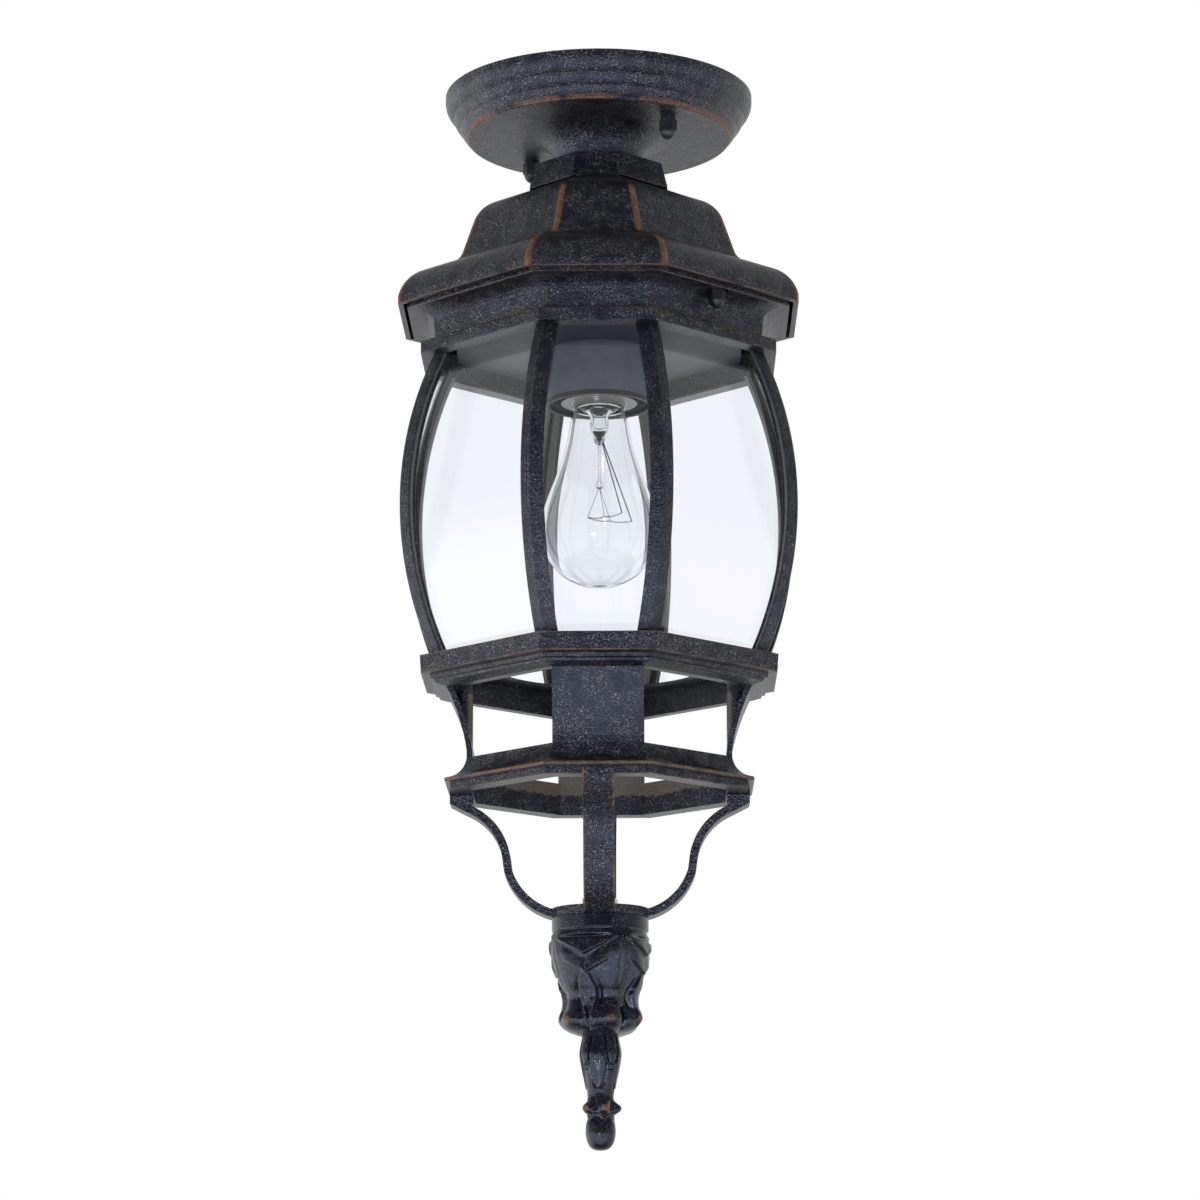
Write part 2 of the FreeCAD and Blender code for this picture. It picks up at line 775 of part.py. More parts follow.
def mounting_bars():
    """Two bars, one on the ceiling box and one that carries the canopy studs."""
    slots = []
    for side in (-1, 1):
        middle = s.box_screw_spacing * side / 2
        slots.append((middle, s.box_slot_length / 2 - s.box_slot_radius, s.box_slot_radius))
    bore = s.eyelet_radius + s.screw_clearance
    keep("box_bar", bar("box_bar_body", s.box_bar_length, s.box_bar_width, 0, [(0, 0, bore)], slots))
    taps = [(s.stud_spacing * side / 2, 0, s.stud_radius + s.screw_clearance) for side in (-1, 1)]
    ground = (s.ground_offset, 0, s.ground_screw_radius + s.screw_clearance)
    stud_bar = bar("stud_bar_body", s.stud_bar_length, s.stud_bar_width, s.bar_thickness,
                   [(0, 0, bore), ground] + taps)
    keep("stud_bar", place(stud_bar, 0, 0, -s.bar_thickness, turn=STUD_ANGLES[0]))
    stack = s.bar_thickness * 2
    flange = s.eyelet_radius + s.eyelet_flange_width
    keep("bar_eyelet", turned("bar_eyelet_body", [
        (s.eyelet_bore, -s.screw_clearance), (s.eyelet_bore, -stack - s.eyelet_flange),
        (flange, -stack - s.eyelet_flange), (flange, -stack),
        (s.eyelet_radius, -stack), (s.eyelet_radius, -s.screw_clearance)]))
    x, y = at_angle(s.ground_offset, STUD_ANGLES[0])
    shank = cylinder("ground_shank", s.ground_screw_radius, -stack - s.ground_screw_reach,
                     s.ground_screw_reach + s.bar_thickness * 0.9, x, y)
    head = cylinder("ground_head", s.ground_head_radius, -stack - s.ground_head_height,
                    s.ground_head_height, x, y)
    keep("ground_screw", fuse("ground_screw_body", [shank, head]))


def canopy():
    """Spun pan: short upright rim, two soft beads, flat floor and a flared neck."""
    wall = s.canopy_wall
    floor = -s.canopy_floor_level
    flare_x = s.canopy_neck_radius + s.canopy_flare_radius
    foot = -s.neck_top_level
    bore = s.tube_radius + s.screw_clearance
    outline = [
        (s.canopy_rim_radius, 0), (s.canopy_rim_radius - wall, 0),
        (s.canopy_rim_radius - wall, -s.canopy_rim_depth),
        (s.canopy_bead_radius - wall, -s.canopy_bead_level),
        (s.canopy_second_bead_radius - wall, -s.canopy_second_bead_level),
        (s.canopy_edge_radius - wall, floor + wall),
        (flare_x, floor + wall),
        (s.canopy_neck_radius - wall, foot + wall, s.canopy_flare_radius + wall, "left"),
        (bore, foot + wall), (bore, foot), (s.canopy_neck_radius, foot),
        (flare_x, floor, s.canopy_flare_radius, "right"),
        (s.canopy_edge_radius - s.canopy_edge_fillet, floor),
        (s.canopy_edge_radius, floor + s.canopy_edge_fillet, s.canopy_edge_fillet, "left"),
        (s.canopy_second_bead_radius, -s.canopy_second_bead_level, s.canopy_bead_curve, "left"),
        (s.canopy_bead_radius, -s.canopy_bead_level, s.canopy_bead_curve, "left"),
        (s.canopy_rim_radius, -s.canopy_rim_depth, s.canopy_bead_curve, "left"),
    ]
    pan = turned("canopy_pan", outline)
    holes = []
    for angle in STUD_ANGLES:
        x, y = at_angle(s.stud_spacing / 2, angle)
        holes.append(cylinder(f"canopy_hole_{angle + 45}", s.stud_radius + s.hole_clearance,
                              floor - PAST, wall + PAST * 2, x, y))
    keep("canopy", cut("canopy_body", pan, holes))


def cap_nut(name, top, bore_depth, x, y):
    """Acorn nut: a hexagon with a domed end and a blind thread."""
    height = s.cap_nut_height
    radius = s.cap_nut_flats / 2
    corner = radius * 1.16
    prism = hexagon(name + "_hexagon", s.cap_nut_flats, top - height, height, x, y)
    dome = turned(name + "_dome", [
        (0, -height), (radius * 0.3, -height),
        (radius, -s.cap_nut_skirt, radius + s.cap_nut_dome_flat, "left"),
        (corner, -s.cap_nut_skirt + s.cap_nut_chamfer), (corner, 0), (0, 0)])
    place(dome, x, y, top)
    bore = cylinder(name + "_bore", s.stud_radius + s.screw_clearance, top - bore_depth,
                    bore_depth + PAST, x, y)
    return cut(name + "_body", common(name + "_blank", [prism, dome]), [bore])


def washer(name, top, x, y):
    """Flat washer on a stud, its top face at height `top`."""
    ring = cylinder(name + "_disc", s.washer_radius, top - s.washer_thickness, s.washer_thickness, x, y)
    bore = cylinder(name + "_hole", s.stud_radius + s.screw_clearance * 2,
                    top - s.washer_thickness * 2, s.washer_thickness * 3, x, y)
    return cut(name + "_body", ring, [bore])


def canopy_fixings():
    """Two studs with their lock nuts, and the washers and cap nuts below the canopy."""
    under = -s.canopy_floor_level
    foot = under - s.washer_thickness - s.stud_reach
    studs = []
    locknuts = []
    for place_name, angle in zip(("front", "rear"), STUD_ANGLES):
        x, y = at_angle(s.stud_spacing / 2, angle)
        studs.append(cylinder(f"canopy_stud_{place_name}", s.stud_radius, foot,
                              -foot - s.bar_thickness, x, y))
        blank = hexagon(f"locknut_{place_name}", s.locknut_flats,
                        -s.bar_thickness * 2 - s.locknut_height, s.locknut_height, x, y)
        bore = cylinder(f"locknut_bore_{place_name}", s.stud_radius + s.screw_clearance, foot,
                        -foot, x, y)
        locknuts.append(cut(f"locknut_body_{place_name}", blank, [bore]))
        keep(f"canopy_washer_{place_name}", washer(f"canopy_washer_{place_name}_part", under, x, y))
        keep(f"canopy_nut_{place_name}",
             cap_nut(f"canopy_nut_{place_name}_part", under - s.washer_thickness,
                     s.stud_reach + s.cap_nut_spare, x, y))
    group("canopy_studs", studs)
    group("stud_locknuts", locknuts)


# ---------------------------------------------------------------- threaded tube on the axis
def tube_nut(name, top):
    """Thin hexagon nut on the threaded tube, its top face at height `top`."""
    blank = hexagon(name + "_blank", s.tube_nut_flats, top - s.tube_nut_height, s.tube_nut_height)
    bore = cylinder(name + "_bore", s.tube_radius + s.screw_clearance, top - s.tube_nut_height * 2,
                    s.tube_nut_height * 3)
    return cut(name + "_body", blank, [bore])


def tube_washer(name, top, thickness):
    disc = cylinder(name + "_blank", s.tube_washer_radius, top - thickness, thickness)
    bore = cylinder(name + "_bore", s.tube_radius + s.screw_clearance * 2, top - thickness * 2,
                    thickness * 3)
    return cut(name + "_body", disc, [bore])


def centre_tube():
    """Threaded tube that ties canopy, roof, baffle and lamp holder together."""
    canopy_floor = -s.neck_top_level + s.canopy_wall
    top = canopy_floor + s.washer_thickness + s.tube_nut_height + s.tube_end
    foot = -s.socket_top_level - s.socket_seat
    keep("centre_tube", turned("centre_tube_body", [
        (s.tube_bore, top), (s.tube_bore, foot), (s.tube_radius, foot), (s.tube_radius, top)]))
    keep("canopy_tube_washer",
         tube_washer("canopy_tube_washer_part", canopy_floor + s.washer_thickness, s.washer_thickness))
    under_roof = -s.neck_top_level - s.neck_plate
    under_cup = -s.baffle_level - s.baffle_thickness - s.holder_cup_wall
    tops = [canopy_floor + s.washer_thickness + s.tube_nut_height, under_roof,
            -s.baffle_level + s.tube_nut_height, under_cup]
    group("tube_nuts", [tube_nut(f"tube_nut_{index}", top) for index, top in enumerate(tops)])


# ---------------------------------------------------------------- roof
def roof():
    """Ogee roof: an octagonal shell of dome, cove and skirt under a tapered neck."""
    wall = s.roof_wall
    join = s.neck_foot_half - 1
    shell = moulding("roof_shell", s.roof_inset, [
        (join, s.neck_foot_level - 0.4), (s.shoulder_top_half, s.shoulder_top_level),
        (s.shoulder_half, s.shoulder_level, s.shoulder_radius, "right"),
        (s.dome_side_half, s.dome_side_level),
        (s.dome_foot_half, s.dome_foot_level, s.dome_cove_radius, "left"),
        (s.skirt_start_half, s.skirt_start_level),
        (s.roof_rim_half, s.roof_rim_level - s.roof_rim_land, s.skirt_radius, "right"),
        (s.roof_rim_half, s.roof_rim_level), (s.roof_rim_half - wall, s.roof_rim_level),
        (s.roof_rim_half - wall, s.roof_rim_level - s.roof_rim_land),
        (s.skirt_start_half - wall * 0.4, s.skirt_start_level + wall * 0.95,
         s.skirt_radius - wall, "left"),
        (s.dome_foot_half - wall * 0.5, s.dome_foot_level + wall * 0.9),
        (s.dome_side_half - wall, s.dome_side_level + 1, s.dome_cove_radius + wall, "right"),
        (s.shoulder_half - wall, s.shoulder_level + 1),
        (s.shoulder_top_half - wall * 0.5, s.shoulder_top_level + wall * 0.85,
         s.shoulder_radius - wall, "left"),
        (join, s.neck_foot_level + wall * 0.8),
    ])
    neck = moulding("roof_neck", s.neck_inset, [
        (s.neck_top_half, s.neck_top_level), (s.neck_foot_half, s.neck_foot_level),
        (s.neck_foot_half, s.neck_foot_level + s.neck_lip),
        (s.neck_foot_half - wall * 1.4, s.neck_foot_level + s.neck_lip),
        (s.neck_top_half - wall, s.neck_top_level + s.neck_plate),
        (s.tube_radius * 2, s.neck_top_level + s.neck_plate),
        (s.tube_radius * 2, s.neck_top_level),
    ])
    cap = turned("roof_neck_cap", [
        (s.tube_radius + s.screw_clearance, -s.neck_top_level),
        (s.tube_radius + s.screw_clearance, -s.neck_top_level - s.neck_plate),
        (s.tube_radius * 4, -s.neck_top_level - s.neck_plate), (s.tube_radius * 4, -s.neck_top_level)])
    bosses = []
    taps = []
    for index, angle in enumerate(STUD_ANGLES):
        x, y = at_angle(s.cage_stud_offset, angle)
        bosses.append(cylinder(f"stud_boss_{index}", s.stud_boss_radius, -s.ledge_top_level,
                               s.ledge_top_level - s.stud_boss_top_level, x, y))
        taps.append(cylinder(f"stud_boss_tap_{index}", s.stud_radius + s.screw_clearance,
                             -s.ledge_top_level - PAST,
                             s.ledge_top_level - s.stud_boss_top_level, x, y))
    solid = fuse("roof_blank", [shell, neck, cap] + bosses)
    keep("roof", cut("roof_body", solid, taps))


def cage_fixings():
    """Two studs in the roof, and the washers and cap nuts that clamp the cage to it."""
    seat = -s.spotface_level
    foot = seat - s.washer_thickness - s.stud_reach
    studs = []
    for place_name, angle in zip(("front", "rear"), STUD_ANGLES):
        x, y = at_angle(s.cage_stud_offset, angle)
        height = -s.stud_boss_top_level - s.stud_boss_floor - foot
        studs.append(cylinder(f"cage_stud_{place_name}", s.stud_radius, foot, height, x, y))
        keep(f"cage_washer_{place_name}", washer(f"cage_washer_{place_name}_part", seat, x, y))
        keep(f"cage_nut_{place_name}",
             cap_nut(f"cage_nut_{place_name}_part", seat - s.washer_thickness,
                     s.stud_reach + s.cap_nut_spare, x, y))
    group("cage_studs", studs)


# ---------------------------------------------------------------- cage
def top_frame():
    """Top frame of the cage: ledge, cove, band and flange in one moulding."""
    section = [
        (s.ledge_half, s.ledge_top_level), (s.ledge_half, s.ledge_bottom_level),
        (s.ledge_half - s.ledge_lip, s.ledge_bottom_level),
        (s.band_half, s.band_top_level, s.cove_radius, "left"),
        (s.band_half - s.band_lean, s.band_bottom_level),
        (s.band_half - s.band_lean, s.flange_top_level - s.band_lean),
        (s.flange_half - s.flange_chamfer, s.flange_top_level),
        (s.flange_half, s.flange_top_level + s.flange_chamfer),
        (s.flange_half, s.flange_bottom_level), (s.frame_step_half, s.flange_bottom_level),
        (s.frame_step_half, s.frame_step_level), (s.frame_bore_half, s.frame_step_level),
        (s.frame_bore_half, s.ledge_top_level),
    ]
    frame = moulding("top_frame_moulding", s.cage_inset, section)
    tools = []
    for index, angle in enumerate(STUD_ANGLES):
        x, y = at_angle(s.cage_stud_offset, angle)
        tools.append(cylinder(f"ledge_hole_{index}", s.stud_radius + s.hole_clearance,
                              -s.band_top_level, s.band_top_level - s.ledge_top_level + 2, x, y))
        tools.append(cylinder(f"ledge_spotface_{index}", s.spotface_radius, -s.band_bottom_level,
                              s.band_bottom_level - s.spotface_level, x, y))
    keep("top_frame", cut("top_frame_body", frame, tools))


def arc_about(waist, end, reach):
    """Radius of the arc that bows out from `end` to `waist` over twice `reach`."""
    bow = waist - end
    return (reach * reach + bow * bow) / (bow * 2)


def posts():
    """Eight T-section posts, bowed along the corners of the octagon."""
    reach = (s.ring_top_level - s.flange_bottom_level) / 2
    middle = (s.ring_top_level + s.flange_bottom_level) / 2
    waist = s.post_waist_half / cosine(CORNER)
    radius = arc_about(waist, s.post_end_half / cosine(CORNER), reach)
    slope = sine(CORNER) / cosine(CORNER)
    width = s.post_half_width
    flange = s.post_flange
    edge = (radius - width * slope, width)
    inner = (edge[0] - flange * cosine(CORNER), width - flange * sine(CORNER))
    web = (radius - flange / cosine(CORNER) - s.post_web_half * slope, s.post_web_half)
    depth = (radius - s.post_depth, s.post_web_half)
    upper = [edge, inner, web, depth]
    lower = [(x, -y) for x, y in reversed(upper)]
    slab = doc.addObject("Part::Box", "post_slab")
    span = s.post_waist_half * 3
    for side in ("Length", "Width"):
        bind(slab, side, span)
    bind(slab, "Height", reach * 2)
    place(slab, -span / 2, -span / 2, -s.ring_top_level)
    number = 0
    for face in NARROW_FACES:
        for side in (-1, 1):
            number += 1
            body = doc.addObject("PartDesign::Body", f"post_{number}_bow")
            sketch = body_sketch(body, "XY_Plane", f"post_{number}_section")
            draw(sketch, [(radius, 0)] + upper + lower)
            bow = body.newObject("PartDesign::Revolution", f"post_{number}_sweep")
            bow.Profile = sketch
            bow.ReferenceAxis = (sketch, ["V_Axis"])
            bow.Midplane = True
            bind(bow, "Angle", arcsine(reach / radius) * 2 + 6)
            turn = face - 90 + side * CORNER
            start_x, start_y = at_angle(s.cage_inset * ROOT_TWO * -side, face)
            out_x, out_y = at_angle(waist - radius, turn)
            place(body, start_x + out_x, start_y + out_y, -middle, turn)
            keep(f"post_{number}", common(f"post_{number}_body", [body, slab]))


def arcsine(size):
    return Size(math.degrees(math.asin(size.number)), f"(asin({size.formula}) / 1 deg)")


def panes():
    """Eight bent panes: each follows its face of the octagon and ends beside the post webs."""
    reach = (s.ring_top_level - s.flange_bottom_level) / 2
    middle = (s.ring_top_level + s.flange_bottom_level) / 2
    slope = sine(CORNER) / cosine(CORNER)
    gap = (s.post_web_half + s.pane_side_gap) / cosine(CORNER)
    bottom = -s.ring_top_level + s.pane_end_gap
    height = (reach - s.pane_end_gap) * 2
    kinds = (("narrow", NARROW_FACES, as_size(0), -1), ("wide", WIDE_FACES, s.cage_inset, 1))
    for kind, faces, inset, side in kinds:
        waist = s.post_waist_half - inset
        radius = arc_about(waist, s.post_end_half - inset, reach)
        outer = radius - s.post_flange - s.pane_gap
        near = waist / 2
        far = waist * 1.1
        corner_near = near * slope + s.cage_inset * ROOT_TWO * side - gap
        corner_far = far * slope + s.cage_inset * ROOT_TWO * side - gap
        for index, face in enumerate(faces, start=1):
            name = f"pane_{kind}_{index}"
            body = doc.addObject("PartDesign::Body", name + "_sheet")
            sketch = body_sketch(body, "XY_Plane", name + "_section")
            draw(sketch, [(outer, -waist), (outer, waist), (outer - s.pane_thickness, waist),
                          (outer - s.pane_thickness, -waist)])
            bend = body.newObject("PartDesign::Revolution", name + "_bend")
            bend.Profile = sketch
            bend.ReferenceAxis = (sketch, ["V_Axis"])
            bend.Midplane = True
            bind(bend, "Angle", arcsine(reach / radius) * 2 + 6)
            out_x, out_y = at_angle(waist - radius, face - 90)
            place(body, out_x, out_y, -middle, face - 90)
            wedge = padded(name + "_trim", "XY_Plane", [
                (near, -corner_near), (far, -corner_far), (far, corner_far), (near, corner_near)],
                height)
            place(wedge, 0, 0, bottom + height / 2, face - 90)
            keep(name, common(name + "_body", [body, wedge]))


def bottom_ring():
    """Bottom ring of the cage with a seat for the plate and four screw lugs."""
    seat = s.plate_top_level + s.plate_thickness
    band = s.ring_top_level + s.ring_band_height
    edge = s.ring_step_edge
    tread = band + edge + s.ring_step_height
    second_tread = tread + edge + s.ring_second_step_height
    section = [
        (s.ring_half, s.ring_top_level), (s.ring_half - s.ring_lean, band),
        (s.ring_step_half, band + edge), (s.ring_step_half - edge, tread),
        (s.ring_second_step_half, tread + edge), (s.ring_second_step_half - edge, second_tread),
        (s.ring_bottom_half, s.ring_bottom_level), (s.ring_bore_half, s.ring_bottom_level),
        (s.ring_bore_half, seat), (s.plate_seat_half + s.plate_clearance, seat),
        (s.plate_seat_half + s.plate_clearance, s.ring_top_level),
    ]
    ring = moulding("bottom_ring_moulding", s.cage_inset, section)
    lugs = []
    holes = []
    for index, face in enumerate(NARROW_FACES):
        x, y = at_angle(s.boss_half, face)
        lugs.append(cylinder(f"ring_lug_{index}", s.boss_radius, -s.ring_bottom_level,
                             s.ring_bottom_level - s.lug_top_level, x, y))
        holes.append(cylinder(f"ring_lug_hole_{index}", s.crown_screw_radius + s.hole_clearance,
                              -s.ring_bottom_level - PAST, s.lug_height + PAST * 2, x, y))
        holes.append(cylinder(f"ring_lug_relief_{index}", s.boss_radius, -s.lug_top_level,
                              s.lug_top_level - seat, x, y))
    keep("bottom_ring", cut("bottom_ring_body", fuse("bottom_ring_blank", [ring] + lugs), holes))


def bottom_plate():
    """Thin plate in the bottom ring with the round hole that the lamp is changed through."""
    holes = [(0, 0, s.plate_hole_radius)]
    for angle in WIDE_FACES:
        x, y = at_angle(s.plate_screw_radius, angle)
        holes.append((x, y, s.plate_screw_hole))
    keep("bottom_plate", octagon_plate("bottom_plate_body", s.plate_seat_half, s.cage_inset,
                                       s.plate_top_level, s.plate_thickness, holes))


def crown():
    """Crown casting: an octagonal ring with a flared rim and four curved straps."""
    round_off = s.crown_rim_round
    section = [
        (s.crown_bore_half, s.crown_top_level), (s.crown_bore_half, s.crown_bottom_level),
        (s.crown_band_half, s.crown_bottom_level),
        (s.crown_band_half, s.crown_rim_level + s.crown_rim_depth),
        (s.crown_rim_half - round_off, s.crown_rim_level + s.crown_rim_depth - round_off / 4),
        (s.crown_rim_half, s.crown_rim_level + round_off),
        (s.crown_rim_half - round_off, s.crown_rim_level),
        (s.strap_foot_half, s.crown_top_level, s.crown_flare_radius, "right"),
    ]
    ring = moulding("crown_ring", s.crown_inset, section)
    top = -s.ring_bottom_level
    foot = -s.strap_foot_level
    inner = s.strap_foot_half - s.strap_thickness
    parts = [ring]
    bores = []
    for index, face in enumerate(NARROW_FACES):
        strap = padded(f"strap_{index}", "XZ_Plane", [
            (s.strap_top_half - s.strap_thickness * 1.1, top), (inner, foot,
             s.strap_radius + s.strap_thickness, "left"), (inner, -s.crown_top_level - INTO),
            (s.strap_foot_half, -s.crown_top_level - INTO), (s.strap_foot_half, foot),
            (s.strap_top_half, top, s.strap_radius, "right")], s.strap_half_width * 2)
        parts.append(place(strap, turn=face))
        x, y = at_angle(s.boss_half, face)
        boss = cylinder(f"strap_boss_{index}", s.boss_radius, -s.crown_top_level - PAST,
                        s.crown_top_level + PAST - s.ring_bottom_level, x, y)
        behind = padded(f"strap_behind_{index}", "XZ_Plane", [
            (inner - s.boss_radius, top), (inner - s.boss_radius, -s.crown_top_level - PAST),
            (inner + s.strap_thickness / 2, -s.crown_top_level - PAST),
            (inner + s.strap_thickness / 2, foot),
            (s.strap_top_half - s.strap_thickness / 2, top,
             s.strap_radius + s.strap_thickness / 2, "right")], s.boss_radius * 4)
        parts.append(common(f"strap_boss_trimmed_{index}", [boss, place(behind, turn=face)]))
        bores.append(cylinder(f"strap_bore_{index}", s.crown_screw_radius + s.screw_clearance,
                              -s.lug_top_level - s.crown_screw_length - s.crown_screw_room,
                              s.crown_screw_length, x, y))
    keep("crown", cut("crown_body", fuse("crown_blank", parts), bores))


def crown_screws():
    """Screws that hold the crown up against the ring."""
    screws = []
    for index, face in enumerate(NARROW_FACES):
        x, y = at_angle(s.boss_half, face)
        shank = cylinder(f"crown_screw_shank_{index}", s.crown_screw_radius,
                         -s.lug_top_level - s.crown_screw_length,
                         s.crown_screw_length + s.crown_screw_head_height / 2, x, y)
        head = cylinder(f"crown_screw_head_{index}", s.crown_screw_head, -s.lug_top_level,
                        s.crown_screw_head_height, x, y)
        screws.append(fuse(f"crown_screw_{index}", [shank, head]))
    group("crown_screws", screws)


def basket():
    """Four S-curved legs that gather on a hub below the crown."""
    thick = s.leg_thickness
    shoulder = (s.leg_shoulder_half, -s.leg_shoulder_level)
    waist = (s.leg_waist_half, -s.leg_waist_level)
    sweep = (s.leg_sweep_half, -s.leg_sweep_level)
    foot = (s.leg_foot_half, -s.hub_bottom_level)
    bend = arc_centre(shoulder, waist, s.leg_bend_radius, "left")
    curl = arc_centre(sweep, foot, s.leg_sweep_radius, "right")
    inner_shoulder = moved_from(shoulder, bend, s.leg_bend_radius, thick)
    inner_waist = moved_from(waist, bend, s.leg_bend_radius, thick)
    inner_sweep = moved_from(sweep, curl, s.leg_sweep_radius, -thick)
    inner_foot = moved_from(foot, curl, s.leg_sweep_radius, -thick)
    lip = s.crown_band_half + s.leg_lip
    outline = [
        (lip, -s.leg_lip_level), (lip, -s.leg_pad_level), shoulder,
        waist + (s.leg_bend_radius, "left"), sweep, foot + (s.leg_sweep_radius, "right"),
        (s.hub_radius / 2, -s.hub_bottom_level), (s.hub_radius / 2, inner_foot[1]), inner_foot,
        inner_sweep + (s.leg_sweep_radius - thick, "left"), inner_waist,
        inner_shoulder + (s.leg_bend_radius + thick, "right"),
        (s.leg_pad_inner_half, -s.leg_pad_level), (s.leg_pad_inner_half, -s.crown_bottom_level),
        (s.crown_band_half, -s.crown_bottom_level), (s.crown_band_half, -s.leg_lip_level),
    ]
    parts = []
    for index, face in enumerate(NARROW_FACES):
        leg = padded(f"leg_{index}", "XZ_Plane", outline, s.leg_half_width * 2)
        parts.append(place(leg, turn=face))
    parts.append(cylinder("basket_hub", s.hub_radius, -s.hub_bottom_level,
                          s.hub_bottom_level - s.hub_top_level))
    bore = cylinder("basket_bore", s.rod_radius + s.screw_clearance, -s.hub_bottom_level - PAST,
                    s.hub_thickness + PAST * 2)
    keep("basket", cut("basket_body", fuse("basket_blank", parts), [bore]))


# ---------------------------------------------------------------- finial
def finial():
    """Leaf cup, bud tip, and the rod and nut that hold them to the hub."""
    bore = s.rod_radius + s.screw_clearance
    cup = turned("finial_cup_turned", [
        (bore, -s.hub_bottom_level), (bore, -s.cup_foot_level), (s.cup_foot_radius, -s.cup_foot_level),
        (s.lip_under_radius, -s.lip_under_level),
        (s.cup_lip_radius, -s.cup_lip_level, s.lip_roll_radius, "left"),
        (s.cup_waist_radius, -s.cup_waist_level, s.cup_hollow_radius, "right"),
        (s.cup_belly_radius, -s.cup_belly_level, s.cup_taper_radius, "left"),
        (s.cup_rim_radius, -s.cup_rim_level, s.cup_bulge_radius, "left"),
        (s.cup_rim_radius, -s.hub_bottom_level)])
    keep("finial_cup", cup)
    tip_bore = -s.rod_foot_level - s.rod_room
    keep("finial_tip", turned("finial_tip_turned", [
        (bore, -s.cup_foot_level), (bore, tip_bore), (0, tip_bore), (0, -s.tip_level),
        (s.ball_foot_radius, -s.tip_level + s.ball_foot_height),
        (s.ball_top_radius, -s.ball_top_level, s.ball_side_radius, "left"),
        (s.bud_under_radius, -s.bud_under_level),
        (s.bud_lip_radius, -s.bud_lip_level, s.bud_roll_radius, "left"),
        (s.bud_waist_radius, -s.bud_waist_level, s.bud_hollow_radius, "right"),
        (s.bud_top_radius, -s.cup_foot_level, s.bud_side_radius, "left")]))
    keep("finial_rod", cylinder("finial_rod_body", s.rod_radius, -s.rod_foot_level,
                                s.rod_foot_level - s.rod_top_level))
    blank = hexagon("finial_nut_blank", s.rod_nut_flats, -s.hub_top_level, s.rod_nut_height, turn=CORNER)
    hole = cylinder("finial_nut_bore", bore, -s.hub_top_level - PAST, s.rod_nut_height + PAST * 2)
    keep("finial_nut", cut("finial_nut_body", blank, [hole]))


# ---------------------------------------------------------------- lamp holder and bulb
def lamp_holder():
    """Baffle, cup, socket, threaded shell and centre contact on the tube."""
    bore = s.tube_radius + s.screw_clearance
    keep("baffle", octagon_plate("baffle_body", s.baffle_half, s.cage_inset, s.baffle_level,
                                 s.baffle_thickness, [(0, 0, bore)]))
    top = -s.baffle_level - s.baffle_thickness
    wall = s.holder_cup_wall
    foot = -s.holder_cup_level
    bead = s.holder_cup_radius + s.holder_cup_bead
    keep("holder_cup", turned("holder_cup_body", [
        (bore, top), (bore, top - wall), (s.holder_cup_radius - wall, top - wall),
        (s.holder_cup_radius - wall, foot), (bead, foot), (bead, foot + s.holder_cup_bead_height),
        (s.holder_cup_radius, foot + s.holder_cup_bead_height + s.holder_cup_bead),
        (s.holder_cup_radius, top)]))
    seat = -s.socket_top_level - s.socket_seat - s.screw_clearance
    floor = -s.socket_floor_level
    opening = s.shell_radius + s.screw_clearance
    keep("socket", turned("socket_body", [
        (bore, -s.socket_top_level), (bore, seat), (s.tube_bore, seat), (s.tube_bore, floor),
        (opening, floor), (opening, -s.socket_bottom_level), (s.socket_radius, -s.socket_bottom_level),
        (s.socket_radius, -s.socket_top_level)]))
    keep("screw_shell", turned("screw_shell_body", [
        (s.shell_radius - s.shell_wall, floor - s.contact_thickness),
        (s.shell_radius - s.shell_wall, -s.socket_bottom_level),
        (s.shell_radius, -s.socket_bottom_level), (s.shell_radius, floor - s.contact_thickness)]))
    keep("centre_contact", cylinder("centre_contact_body", s.contact_radius,
                                    floor - s.contact_thickness, s.contact_thickness))
    lead_top = -s.neck_top_level + s.canopy_wall + s.washer_thickness + s.tube_nut_height + s.lead_end
    for name, side in (("lead_black", 1), ("lead_white", -1)):
        keep(name, cylinder(name + "_body", s.lead_radius, floor, lead_top - floor,
                            s.lead_offset * side, 0))


